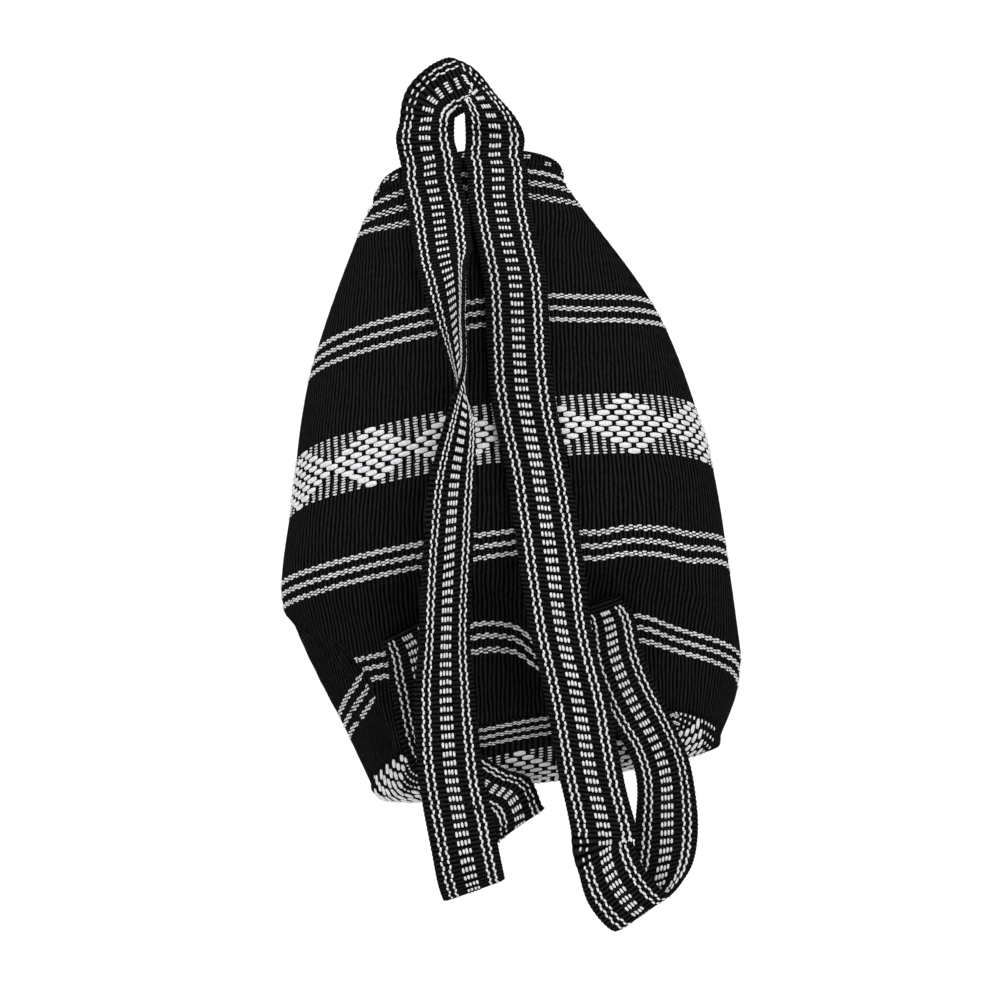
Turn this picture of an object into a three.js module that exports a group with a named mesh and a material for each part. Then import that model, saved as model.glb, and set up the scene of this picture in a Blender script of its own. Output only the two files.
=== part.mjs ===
// A soft woven backpack that hangs from its loop: a tube of cloth with a drawn-in mouth, an oval base,
// and one long woven band that makes both shoulder straps and the hang loop.
// Millimetres, +Z up, +X to the right of the strap side, which faces -Y.
// The origin is the place where the hang loop is carried, inside its bend.
import * as THREE from "three";

// Cloth and band
const CLOTH = 2;
const HEM_TALL = 11;
const STRAP_WIDTH = 34;
const STRAP_THICK = 2.2;
const LEFT_END_SHARE = 0.85;
const RIGHT_END_SHARE = 0.6;
const SEWN_GAP = 0.3;

// Woven pattern
const DIAMONDS = 12;
const DIAMOND_WIDE = 46.4;
const DIAMOND_TALL = 36;
const DIAMOND_JOIN = 6;
const STRIPE_TALL = 4;
const STRIPE_STEP = 7.4;
const YARN = 0.8;
const YARN_GAP = 0.7;

// Heights up the cloth from the base seam to the rim and to the middle of each band
const RIM = 369;
const STRIPES_BELOW_HEM = 11;
const MOUTH_STRIPES = RIM - HEM_TALL - STRIPES_BELOW_HEM;
const UPPER_STRIPES = RIM * 0.6965;
const DIAMOND_ROW = RIM * 0.4905;
const BAND_STEP = RIM * 0.1816;
const LOWER_STRIPES = DIAMOND_ROW - BAND_STEP;
const BOTTOM_STRIPES = LOWER_STRIPES - BAND_STEP;

// The rings of the hanging tube, in shares of the wall's height. A ring passes through four places: left and
// right edges as [x, z], the middle of the strap side and the middle of the far side as [y, z].
const RINGS = [
  {
    height: 0,
    left: [-0.1355, -1.0163], right: [0.3984, -0.9431], near: [-0.1463, -0.8808], far: [0.1789, -0.9864],
  },
  {
    height: BOTTOM_STRIPES,
    left: [-0.187, -0.9079], right: [0.4263, -0.8509], near: [-0.1192, -0.7805], far: [0.1626, -0.8699],
  },
  {
    height: LOWER_STRIPES,
    left: [-0.2547, -0.7398], right: [0.4011, -0.6667], near: [-0.1734, -0.6396], far: [0.1138, -0.7127],
  },
  {
    height: DIAMOND_ROW,
    left: [-0.2493, -0.5745], right: [0.3713, -0.4932], near: [-0.1626, -0.4824], far: [0.1409, -0.5528],
  },
  {
    height: UPPER_STRIPES,
    left: [-0.2276, -0.3767], right: [0.3062, -0.2981], near: [-0.103, -0.3062], far: [0.1789, -0.374],
  },
  {
    height: MOUTH_STRIPES,
    left: [-0.1545, -0.1436], right: [0.1707, -0.0949], near: [0, -0.0976], far: [0.168, -0.1734],
  },
  {
    height: RIM,
    left: [-0.1247, -0.0894], right: [0.1545, -0.0623], near: [0.0108, -0.0461], far: [0.1463, -0.1247],
  },
];

// The base hangs straight down from the strap side's seam and runs flat to the far seam. Its rows go from
// 0 at the near seam to 1 at the far one, given in the middle of the base and then at its corners.
const BASE_SAG = RIM * 0.087;
const BASE_FALL = 2.2;
const BASE_ROWS = [
  [0, 0], [0.02, 0.01], [0.14, 0.05],
  [0.18, 0.08], [0.36, 0.34], [0.54, 0.6],
  [0.7, 0.72], [0.86, 0.86], [1, 1],
];
const STRIPE_ROWS = [1, 2];
const DIAMOND_ROWS = [3, 4, 5];

// Gathers: the cloth keeps its girth, so what a narrow ring can't take stands up in pleats.
// Places round the tube run from 0 at the middle of the strap side to 0.5 at the middle of the far side.
const GATHER_FROM = 0.08;
const GATHER_TO = 0.24;
const PLEAT_FROM = 0.2;
const PLEAT_TO = 0.32;
const PLEAT_FULL = 0.6;

// Hang loop
const LOOP_HOLE = 5.8;
const LEG_DROP = 10.5;
const LEG_GAP = 1.3;
const LEG_ASIDE = 1.25;

const COLUMNS_PER_DIAMOND = 4;
const COLUMNS = DIAMONDS * COLUMNS_PER_DIAMOND;
const GIRTH = DIAMONDS * DIAMOND_WIDE;
const OVAL_SAMPLES = 720;
const OUTER_ROW_STEP = 22;
const INNER_ROW_STEP = 44;
const STRAP_STEPS_PER_STATION = 3;
const { smoothstep, degToRad, lerp, clamp } = THREE.MathUtils;
const vec = (x, y, z) => new THREE.Vector3(x, y, z);

// Rails through the rings

function railPoints({ left, right, near, far }) {
  const sideY = (near[0] + far[0]) / 2;
  const middleX = (left[0] + right[0]) / 2;
  return {
    left: vec(left[0], sideY, left[1]).multiplyScalar(RIM),
    right: vec(right[0], sideY, right[1]).multiplyScalar(RIM),
    near: vec(middleX, near[0], near[1]).multiplyScalar(RIM),
    far: vec(middleX, far[0], far[1]).multiplyScalar(RIM),
  };
}

const RAIL_KNOTS = RINGS.map((ring) => ({ height: ring.height, ...railPoints(ring) }));

function railSlope(rail, i) {
  const below = RAIL_KNOTS[Math.max(i - 1, 0)];
  const above = RAIL_KNOTS[Math.min(i + 1, RAIL_KNOTS.length - 1)];
  return above[rail].clone().sub(below[rail]).divideScalar(above.height - below.height);
}

// A point of a rail at a height up the cloth, on a cubic through the ring places.
function railAt(rail, height) {
  const last = RAIL_KNOTS.length - 2;
  const found = RAIL_KNOTS.findIndex((knot) => knot.height > height) - 1;
  const i = found < 0 ? last : Math.min(found, last);
  const span = RAIL_KNOTS[i + 1].height - RAIL_KNOTS[i].height;
  const t = clamp((height - RAIL_KNOTS[i].height) / span, 0, 1);
  const a = RAIL_KNOTS[i][rail];
  const b = RAIL_KNOTS[i + 1][rail];
  const startPull = railSlope(rail, i).multiplyScalar(span);
  const endPull = railSlope(rail, i + 1).multiplyScalar(span);
  return a.clone().multiplyScalar(2 * t ** 3 - 3 * t ** 2 + 1)
    .addScaledVector(startPull, t ** 3 - 2 * t ** 2 + t)
    .addScaledVector(b, 3 * t ** 2 - 2 * t ** 3)
    .addScaledVector(endPull, t ** 3 - t ** 2);
}

// Ovals: the smooth ring at a height, and its points by share of its length

const ovals = new Map();

function ovalAt(height) {
  const key = height.toFixed(4);
  if (!ovals.has(key)) ovals.set(key, makeOval(height));
  return ovals.get(key);
}

function makeOval(height) {
  const left = railAt("left", height);
  const right = railAt("right", height);
  const middle = left.clone().add(right).multiplyScalar(0.5);
  const side = right.clone().sub(middle);
  const near = railAt("near", height).sub(middle);
  const far = railAt("far", height).sub(middle);
  const byAngle = (angle) => {
    const across = Math.cos(angle);
    return middle.clone()
      .addScaledVector(across >= 0 ? near : far, Math.abs(across))
      .addScaledVector(side, Math.sin(angle));
  };
  const run = [0];
  let before = byAngle(0);
  for (let i = 1; i <= OVAL_SAMPLES; i += 1) {
    const next = byAngle((i / OVAL_SAMPLES) * 2 * Math.PI);
    run.push(run[i - 1] + next.distanceTo(before));
    before = next;
  }
  const girth = run[OVAL_SAMPLES];
  const byShare = (share) => {
    const wanted = (share - Math.floor(share)) * girth;
    let i = run.findIndex((length) => length > wanted) - 1;
    if (i < 0) i = OVAL_SAMPLES - 1;
    const part = (wanted - run[i]) / (run[i + 1] - run[i]);
    return byAngle(((i + part) / OVAL_SAMPLES) * 2 * Math.PI);
  };
  return { byAngle, byShare, girth };
}

// Cloth: a place round the tube (-0.5 to 0.5) and a height up it give a point of the outer face

function gatherWeight(place) {
  return smoothstep(Math.abs(place), GATHER_FROM, GATHER_TO);
}

// The gather weight summed from the strap side's middle to a place.
function gatherSum(place) {
  const width = GATHER_TO - GATHER_FROM;
  const far = Math.abs(place);
  const t = clamp((far - GATHER_FROM) / width, 0, 1);
  const sum = width * (t ** 3 - t ** 4 / 2) + Math.max(far - GATHER_TO, 0);
  return Math.sign(place) * sum;
}

function smoothClothAt(place, height) {
  const oval = ovalAt(height);
  const kept = Math.min(oval.girth / GIRTH, 1);
  const draw = (1 - kept) / (2 * gatherSum(0.5));
  const ease = 1 - draw * gatherWeight(place);
  const share = (place - draw * gatherSum(place)) / kept;
  return { point: oval.byShare(share), ease };
}

const SLOPE_STEP = 0.25;

function outwardFrom(pointAt, place, height) {
  const round = pointAt(place + SLOPE_STEP / GIRTH, height).sub(pointAt(place - SLOPE_STEP / GIRTH, height));
  const up = pointAt(place, Math.min(height + SLOPE_STEP, RIM))
    .sub(pointAt(place, Math.max(height - SLOPE_STEP, 0)));
  return round.cross(up).normalize();
}

function clothAt(place, height) {
  const { point, ease } = smoothClothAt(place, height);
  const stands = PLEAT_FULL * (GIRTH / COLUMNS) * Math.sqrt(Math.max(1 - ease * ease, 0));
  const fade = smoothstep(Math.abs(place), PLEAT_FROM, PLEAT_TO);
  const lift = stands * fade * Math.sin(2 * Math.PI * DIAMONDS * place);
  const outward = outwardFrom((p, h) => smoothClothAt(p, h).point, place, height);
  return point.addScaledVector(outward, lift);
}

// Meshes

// A closed mesh from rows of points. Rows wrap round, and so do the rows themselves where closed is set;
// otherwise the first and last rows are capped by a fan.
function skinRows(rows, closed) {
  const count = rows[0].length;
  const positions = rows.flat().flatMap((p) => p.toArray());
  const triangles = [];
  const steps = closed ? rows.length : rows.length - 1;
  for (let i = 0; i < steps; i += 1) {
    const a = i * count;
    const b = ((i + 1) % rows.length) * count;
    for (let j = 0; j < count; j += 1) {
      const k = (j + 1) % count;
      triangles.push(a + j, a + k, b + k, a + j, b + k, b + j);
    }
  }
  if (!closed) {
    const last = (rows.length - 1) * count;
    for (let j = 1; j < count - 1; j += 1) {
      triangles.push(0, j + 1, j);
      triangles.push(last, last + j, last + j + 1);
    }
  }
  const geometry = new THREE.BufferGeometry();
  geometry.setAttribute("position", new THREE.Float32BufferAttribute(positions, 3));
  geometry.setIndex(triangles);
  geometry.computeVertexNormals();
  return geometry;
}

const blackCotton = new THREE.MeshStandardMaterial({ color: 0x17171a, roughness: 0.95, metalness: 0 });
const whiteCotton = new THREE.MeshStandardMaterial({ color: 0xe9e8e4, roughness: 0.9, metalness: 0 });

function piece(name, geometry, material) {
  const mesh = new THREE.Mesh(geometry, material);
  mesh.name = name;
  return mesh;
}

// Body wall

const HALF_GROUP = STRIPE_STEP + STRIPE_TALL / 2;
const HEM_FROM = RIM - HEM_TALL;
const STRIPE_GROUPS = [BOTTOM_STRIPES, LOWER_STRIPES, UPPER_STRIPES, MOUTH_STRIPES];

// Heights of the wall's rows: the edges of every woven band, and plain rows between them.
function wallHeights() {
  const edges = STRIPE_GROUPS.flatMap((middle) => [middle - HALF_GROUP, middle + HALF_GROUP]);
  edges.push(DIAMOND_ROW - DIAMOND_TALL / 2, DIAMOND_ROW, DIAMOND_ROW + DIAMOND_TALL / 2);
  edges.push(0, MOUTH_STRIPES, HEM_FROM, RIM);
  edges.sort((a, b) => a - b);
  const heights = [edges[0]];
  for (let i = 1; i < edges.length; i += 1) {
    const steps = Math.ceil((edges[i] - edges[i - 1]) / OUTER_ROW_STEP);
    for (let k = 1; k <= steps; k += 1) heights.push(lerp(edges[i - 1], edges[i], k / steps));
  }
  return heights;
}

function wallRow(height) {
  const outer = [];
  const outward = [];
  for (let j = 0; j < COLUMNS; j += 1) {
    const place = j / COLUMNS - 0.5;
    outer.push(clothAt(place, height));
    outward.push(outwardFrom(clothAt, place, height));
  }
  return { height, outer, outward };
}

const WALL_ROWS = wallHeights().map(wallRow);

// The plain inner face needs fewer rows than the outer one.
function innerHeights() {
  const kept = new Set([0]);
  let before = 0;
  for (let i = 1; i < WALL_ROWS.length - 1; i += 1) {
    const { height } = WALL_ROWS[i];
    const tooFar = WALL_ROWS[i + 1].height - before > INNER_ROW_STEP;
    if (height < HEM_FROM && tooFar) {
      kept.add(height);
      before = height;
    }
  }
  return kept;
}

const INNER_HEIGHTS = innerHeights();

function inset(row, depth) {
  return row.outer.map((p, j) => p.clone().addScaledVector(row.outward[j], -depth));
}

// Rows go up the outer face, over the rim and down the inner face to the base seam.
function bodyWall() {
  const outerRows = WALL_ROWS.map((row) => row.outer);
  const innerRows = [];
  for (const row of [...WALL_ROWS].reverse()) {
    if (row.height >= HEM_FROM) innerRows.push(inset(row, 2 * CLOTH));
    if (row.height === HEM_FROM || INNER_HEIGHTS.has(row.height)) innerRows.push(inset(row, CLOTH));
  }
  return piece("body_wall", skinRows([...outerRows, ...innerRows], true), blackCotton);
}

// Base panel: a lens of cloth with rows from the near seam to the far seam, sagging in the middle

const QUARTER = COLUMNS / 4;
const BASE_COLUMNS = COLUMNS / 2;

function droppedSeam(points) {
  const above = WALL_ROWS[1].outer;
  return points.map((p, j) => {
    const down = WALL_ROWS[0].outer[j].clone().sub(above[j]).normalize();
    return p.clone().addScaledVector(down, SEWN_GAP);
  });
}

function baseRow(rim, [inMiddle, atCorner], raise) {
  const row = [];
  for (let i = 0; i <= BASE_COLUMNS; i += 1) {
    const near = rim[QUARTER + i];
    const far = rim[(QUARTER - i + COLUMNS) % COLUMNS];
    const side = (2 * i) / BASE_COLUMNS - 1;
    const along = lerp(inMiddle, atCorner, side * side);
    const hang = Math.sin(Math.PI * along) * (1 - side ** 4);
    row.push(near.clone().lerp(far, along ** BASE_FALL).add(vec(0, 0, (raise - BASE_SAG) * hang)));
  }
  return row;
}

const OUTER_SEAM = droppedSeam(WALL_ROWS[0].outer);
const INNER_SEAM = droppedSeam(inset(WALL_ROWS[0], CLOTH));
const BASE_OUTER = BASE_ROWS.map((spots) => baseRow(OUTER_SEAM, spots, 0));
const BASE_INNER = BASE_ROWS.map((spots) => baseRow(INNER_SEAM, spots, CLOTH));

function basePanel() {
  const positions = [];
  const triangles = [];
  const place = (p) => positions.push(...p.toArray()) / 3 - 1;
  const lay = (rows) => {
    const corners = [place(rows[0][0]), place(rows[0][BASE_COLUMNS])];
    return rows.map((row) => [corners[0], ...row.slice(1, -1).map(place), corners[1]]);
  };
  const outer = lay(BASE_OUTER);
  const inner = lay(BASE_INNER);
  const triangle = (a, b, c) => {
    if (a !== b && b !== c && c !== a) triangles.push(a, b, c);
  };
  const quad = (a, b, c, d) => {
    triangle(a, b, c);
    triangle(a, c, d);
  };
  const last = BASE_ROWS.length - 1;
  for (let i = 0; i < BASE_COLUMNS; i += 1) {
    for (let r = 0; r < last; r += 1) {
      quad(outer[r][i + 1], outer[r][i], outer[r + 1][i], outer[r + 1][i + 1]);
      quad(inner[r][i], inner[r][i + 1], inner[r + 1][i + 1], inner[r + 1][i]);
    }
    quad(outer[0][i], outer[0][i + 1], inner[0][i + 1], inner[0][i]);
    quad(outer[last][i + 1], outer[last][i], inner[last][i], inner[last][i + 1]);
  }
  const geometry = new THREE.BufferGeometry();
  geometry.setAttribute("position", new THREE.Float32BufferAttribute(positions, 3));
  geometry.setIndex(triangles);
  geometry.computeVertexNormals();
  return piece("base_panel", geometry, blackCotton);
}

// White weft yarn, as ribbons laid on the wall's own facets

function onFacets(column, height) {
  const j = ((column % COLUMNS) + COLUMNS) % COLUMNS;
  const found = WALL_ROWS.findIndex((row) => row.height > height);
  const i = found < 0 ? WALL_ROWS.length - 2 : Math.max(found - 1, 0);
  const t = (height - WALL_ROWS[i].height) / (WALL_ROWS[i + 1].height - WALL_ROWS[i].height);
  return {
    point: WALL_ROWS[i].outer[j].clone().lerp(WALL_ROWS[i + 1].outer[j], t),
    outward: WALL_ROWS[i].outward[j].clone().lerp(WALL_ROWS[i + 1].outward[j], t).normalize(),
  };
}

// The outline of a ribbon cut across at a column, through the given places from its lower edge up.
function yarnSection(...spots) {
  const lift = (by) => spots.map((spot) => spot.point.clone().addScaledVector(spot.outward, by));
  return [...lift(YARN_GAP), ...lift(YARN_GAP + YARN).reverse()];
}

// Three turns of one yarn, which steps up to the next turn at the middle of the far side.
function tripleStripe(name, middle) {
  const sections = [];
  for (let turn = 0; turn < 3; turn += 1) {
    const height = middle + (turn - 1) * STRIPE_STEP;
    for (let j = 0; j < COLUMNS; j += 1) {
      const lower = onFacets(j, height - STRIPE_TALL / 2);
      const upper = onFacets(j, height + STRIPE_TALL / 2);
      sections.push(yarnSection(lower, upper));
    }
  }
  return piece(name, skinRows(sections, false), whiteCotton);
}

// A chain of diamonds joined at their tips all the way round.
function diamondRow() {
  const half = COLUMNS_PER_DIAMOND / 2;
  const sections = [];
  for (let j = 0; j < COLUMNS; j += 1) {
    const fromTip = half - Math.abs((j % COLUMNS_PER_DIAMOND) - half);
    const tall = lerp(DIAMOND_JOIN, DIAMOND_TALL, fromTip / half) / 2;
    sections.push(yarnSection(
      onFacets(j, DIAMOND_ROW - tall),
      onFacets(j, DIAMOND_ROW),
      onFacets(j, DIAMOND_ROW + tall),
    ));
  }
  return piece("diamond_row", skinRows(sections, true), whiteCotton);
}

// The same yarn on the base, by column from the left corner and by row, either of them between whole numbers
function onBase(column, row) {
  const r = Math.min(Math.floor(row), BASE_ROWS.length - 2);
  const i = Math.min(Math.floor(column), BASE_COLUMNS - 1);
  const across = (points) => points[i].clone().lerp(points[i + 1], column - i);
  const near = across(BASE_OUTER[r]);
  const far = across(BASE_OUTER[r + 1]);
  const along = BASE_OUTER[r][i + 1].clone().sub(BASE_OUTER[r][i]);
  return { point: near.clone().lerp(far, row - r), outward: far.sub(near).cross(along).normalize() };
}

// One yarn laid to and fro three times, turning beyond the last column of each run.
function baseStripes() {
  const [from, to] = STRIPE_ROWS;
  const tall = ((to - from) * STRIPE_TALL) / (2 * HALF_GROUP);
  const step = ((to - from) * STRIPE_STEP) / (2 * HALF_GROUP);
  const first = QUARTER / 2;
  const last = BASE_COLUMNS - first;
  const sections = [];
  for (let run = 0; run < 3; run += 1) {
    const low = from + run * step;
    const forward = run % 2 === 0;
    for (let i = first; i <= last; i += 1) {
      const column = forward ? i : first + last - i;
      const edges = [onBase(column, low + tall), onBase(column, low)];
      sections.push(yarnSection(...(forward ? edges : edges.reverse())));
    }
    if (run < 2) {
      const turn = low + (tall + step) / 2;
      const way = forward ? 1 : -1;
      const end = forward ? last : first;
      const edges = [onBase(end + way * 0.2, turn), onBase(end + way * 1.2, turn)];
      sections.push(yarnSection(...(forward ? edges : edges.reverse())));
    }
  }
  return piece("base_stripes", skinRows(sections, false), whiteCotton);
}

function baseDiamonds() {
  const [near, middle, far] = DIAMOND_ROWS;
  const half = COLUMNS_PER_DIAMOND / 2;
  const sections = [];
  for (let i = COLUMNS_PER_DIAMOND; i <= BASE_COLUMNS - COLUMNS_PER_DIAMOND; i += 1) {
    const fromTip = half - Math.abs((i % COLUMNS_PER_DIAMOND) - half);
    const share = lerp(DIAMOND_JOIN / DIAMOND_TALL, 1, fromTip / half);
    sections.push(yarnSection(
      onBase(i, lerp(middle, far, share)),
      onBase(i, middle),
      onBase(i, lerp(middle, near, share)),
    ));
  }
  return piece("base_diamonds", skinRows(sections, false), whiteCotton);
}

// Shoulder band

// A frame on the strap side: sideways share (-1 left edge, 1 right edge) and height up the cloth.
function strapSideAt(sideways, height) {
  const angle = Math.asin(clamp(sideways, -1, 1));
  const spot = (a, h) => ovalAt(clamp(h, 0, RIM)).byAngle(a);
  const slip = SLOPE_STEP / 100;
  const round = spot(angle + slip, height).sub(spot(angle - slip, height)).normalize();
  const up = spot(angle, height + SLOPE_STEP).sub(spot(angle, height - SLOPE_STEP)).normalize();
  const outward = round.clone().cross(up).normalize();
  return { point: spot(angle, height), round, up: outward.clone().cross(round), outward };
}

// A place where the band lies on or near the wall, its height a share of the wall's. Turn is its slope in the
// cloth's face, and twist brings its right edge back towards the bag.
function wallStation(sideways, upShare, lift, turn, twist, share = 1) {
  const frame = strapSideAt(sideways, upShare * RIM);
  const flat = frame.round.clone().multiplyScalar(Math.cos(degToRad(turn)))
    .addScaledVector(frame.up, Math.sin(degToRad(turn)));
  return {
    point: frame.point.clone().addScaledVector(frame.outward, lift),
    across: flat.multiplyScalar(Math.cos(degToRad(twist)))
      .addScaledVector(frame.outward, -Math.sin(degToRad(twist))),
    share,
  };
}

const SEAM_MIDDLE = railAt("near", 0);

// A place where the band hangs free, measured from the middle of the base seam on the strap side in shares of
// the wall's height.
function hangingStation(x, y, z, turn, twist) {
  return {
    point: SEAM_MIDDLE.clone().addScaledVector(vec(x, y, z), RIM),
    across: vec(
      Math.cos(degToRad(turn)) * Math.cos(degToRad(twist)),
      Math.sin(degToRad(twist)),
      Math.sin(degToRad(turn)) * Math.cos(degToRad(twist)),
    ),
    share: 1,
  };
}

// A place of the hang loop by its inner edge, from the carrying point in shares of the band's width.
// Turn is the way from the outer edge to the inner one, and lean takes the outer edge back.
function loopStation(x, y, z, turn, lean) {
  const across = vec(
    Math.cos(degToRad(turn)) * Math.cos(degToRad(lean)),
    -Math.sin(degToRad(lean)),
    Math.sin(degToRad(turn)) * Math.cos(degToRad(lean)),
  );
  const inner = vec(x, y, z).multiplyScalar(STRAP_WIDTH);
  return { point: inner.addScaledVector(across, -STRAP_WIDTH / 2), across, share: 1 };
}

const HOLE_SIDE = LOOP_HOLE / 2 / STRAP_WIDTH;

// The band goes up the left leg, crosses over to the right, and is folded forwards into the right leg.
const LOOP = [
  loopStation(-HOLE_SIDE, 0.03, -LEG_DROP / STRAP_WIDTH, 0, 8),
  loopStation(-HOLE_SIDE, 0, 0, 0, 20),
  loopStation(-0.062, 0.03, 0.035, -30, 12),
  loopStation(-0.035, 0.06, 0.062, -60, 8),
  loopStation(0.144, 0.047, 0.15, -62, 8),
  loopStation(0.294, 0.006, 0.253, -64, 20),
  loopStation(0.106, -0.141, 0.126, -100, 35),
  loopStation(0.018, -0.4, 0.156, -150, 48),
  loopStation(HOLE_SIDE, -0.35, -0.026, -168, 36),
  loopStation(HOLE_SIDE, -0.17, -0.118, -180, 20),
  loopStation(HOLE_SIDE, 0.03, -LEG_DROP / STRAP_WIDTH, -180, 8),
];

const ON_CLOTH = SEWN_GAP + STRAP_THICK / 2;

const OVER_YARN = ON_CLOTH + YARN_GAP + YARN + SEWN_GAP;

const LEFT_STRAP = [
  wallStation(-0.57, 0.1924, ON_CLOTH, 12, 0, LEFT_END_SHARE),
  wallStation(-0.56, 0.1626, OVER_YARN, 12, 0),
  hangingStation(-0.1816, 0.0136, 0.0352, 12, 6),
  hangingStation(-0.1572, -0.0271, -0.0515, 26, 30),
  hangingStation(-0.084, -0.0407, -0.1003, 46, 50),
  hangingStation(-0.0583, -0.0271, -0.1138, 36, 38),
  hangingStation(-0.0461, -0.0244, -0.1409, 18, 38),
  hangingStation(-0.0461, -0.0136, -0.1572, 33, 20),
  hangingStation(-0.0732, 0.0027, -0.1463, 62, 14),
  hangingStation(-0.1084, 0.0027, -0.168, 50, 55),
  hangingStation(-0.1192, -0.0136, -0.206, 22, 30),
  hangingStation(-0.107, -0.0407, -0.2398, 20, 0),
  hangingStation(-0.1125, -0.0678, -0.2114, 16, 0),
  hangingStation(-0.126, -0.0732, -0.1382, 6, 4),
  hangingStation(-0.1382, -0.0732, -0.0759, 2, 12),
  hangingStation(-0.1463, -0.0732, 0.0298, 0, 28),
  hangingStation(-0.1463, -0.0732, 0.1247, -2, 42),
  wallStation(-0.25, 0.3035, STRAP_WIDTH * 0.5, -2, 46),
  wallStation(-0.215, 0.4119, STRAP_WIDTH * 0.5, -3, 54),
  wallStation(-0.18, 0.5095, STRAP_WIDTH * 0.544, -3, 68),
  wallStation(-0.18, 0.5637, STRAP_WIDTH * 0.574, -3, 78),
  wallStation(-0.175, 0.6504, STRAP_WIDTH * 0.529, -4, 66),
  wallStation(-0.19, 0.7371, STRAP_WIDTH * 0.412, -5, 46),
  wallStation(-0.21, 0.8076, STRAP_WIDTH * 0.206, -6, 16),
  wallStation(-0.24, 0.8943, OVER_YARN, -6, 0),
  wallStation(-0.33, 0.9593, OVER_YARN + 2 * SEWN_GAP, -4, 0),
];

const RIGHT_STRAP = [
  wallStation(0.3, 0.9593, OVER_YARN + 2 * SEWN_GAP, -4, 0),
  wallStation(0.255, 0.897, OVER_YARN, -6, 0),
  wallStation(0.21, 0.8049, OVER_YARN + STRAP_THICK / 2, -7, 0),
  wallStation(0.19, 0.7371, OVER_YARN + STRAP_THICK / 2, -8, 0),
  wallStation(0.12, 0.5501, OVER_YARN + STRAP_THICK / 2, -9, 0),
  wallStation(0.15, 0.4119, OVER_YARN + STRAP_THICK, -8, 4),
  wallStation(0.16, 0.2954, OVER_YARN + 3 * STRAP_THICK, -8, 4),
  hangingStation(0.0136, -0.065, 0.122, -9, 8),
  hangingStation(0.0352, -0.0705, 0.0298, -9, 4),
  hangingStation(0.0542, -0.0732, -0.0759, -6, 2),
  hangingStation(0.0732, -0.0732, -0.1572, -4, 0),
  hangingStation(0.0745, -0.0678, -0.187, 38, 0),
  hangingStation(0.0894, -0.0678, -0.229, 37, 0),
  hangingStation(0.1247, -0.0596, -0.2669, 36, 0),
  hangingStation(0.1463, -0.0325, -0.2493, 28, 0),
  hangingStation(0.1599, -0.0217, -0.206, 12, 4),
  hangingStation(0.164, -0.019, -0.1491, 5, 10),
  hangingStation(0.1599, -0.019, -0.0813, 10, 28),
  hangingStation(0.1436, -0.0217, -0.0352, 20, 34),
  hangingStation(0.1111, -0.0217, 0.0244, 25, 26),
  hangingStation(0.0921, -0.0108, 0.0759, 24, 24),
  wallStation(0.33, 0.1626, OVER_YARN, 22, 0, 0.8),
  wallStation(0.31, 0.1978, ON_CLOTH, 20, 0, RIGHT_END_SHARE),
];

function flipped(station) {
  return { ...station, across: station.across.clone().negate() };
}

// Where the two legs of the loop are sewn to the hem, side by side.
function hemStation(side) {
  const height = RIM - HEM_TALL / 2;
  const halfWide = (railAt("right", height).x - railAt("left", height).x) / 2;
  const middle = LEG_ASIDE + side * (STRAP_WIDTH + LEG_GAP) / 2;
  const sideways = (middle - ovalAt(height).byAngle(0).x) / halfWide;
  return wallStation(sideways, height / RIM, ON_CLOTH, 0, 0);
}

function strapBand() {
  const stations = [
    ...LEFT_STRAP,
    hemStation(-1),
    ...LOOP,
    flipped(hemStation(1)),
    ...RIGHT_STRAP.map(flipped),
  ];
  const path = new THREE.CatmullRomCurve3(stations.map((s) => s.point), false, "centripetal");
  const edges = new THREE.CatmullRomCurve3(stations.map((s) => s.across), false, "centripetal");
  const steps = (stations.length - 1) * STRAP_STEPS_PER_STATION;
  const sections = [];
  for (let i = 0; i <= steps; i += 1) {
    const t = i / steps;
    const at = Math.min(Math.floor(i / STRAP_STEPS_PER_STATION), stations.length - 2);
    const part = i / STRAP_STEPS_PER_STATION - at;
    const width = STRAP_WIDTH * lerp(stations[at].share, stations[at + 1].share, part);
    const middle = path.getPoint(t);
    const along = path.getTangent(t);
    const across = edges.getPoint(t).normalize();
    const face = along.cross(across).normalize();
    const corner = (w, h) => middle.clone().addScaledVector(across, w * width)
      .addScaledVector(face, h * STRAP_THICK);
    sections.push([corner(-0.5, -0.5), corner(0.5, -0.5), corner(0.5, 0.5), corner(-0.5, 0.5)]);
  }
  return piece("strap_band", skinRows(sections, false), blackCotton);
}

const backpack = new THREE.Group();
backpack.add(bodyWall(), basePanel());
backpack.add(tripleStripe("bottom_stripes", BOTTOM_STRIPES));
backpack.add(tripleStripe("lower_stripes", LOWER_STRIPES));
backpack.add(diamondRow());
backpack.add(tripleStripe("upper_stripes", UPPER_STRIPES));
backpack.add(tripleStripe("mouth_stripes", MOUTH_STRIPES));
backpack.add(baseStripes(), baseDiamonds());
backpack.add(strapBand());

export default backpack;
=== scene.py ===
import math

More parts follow.
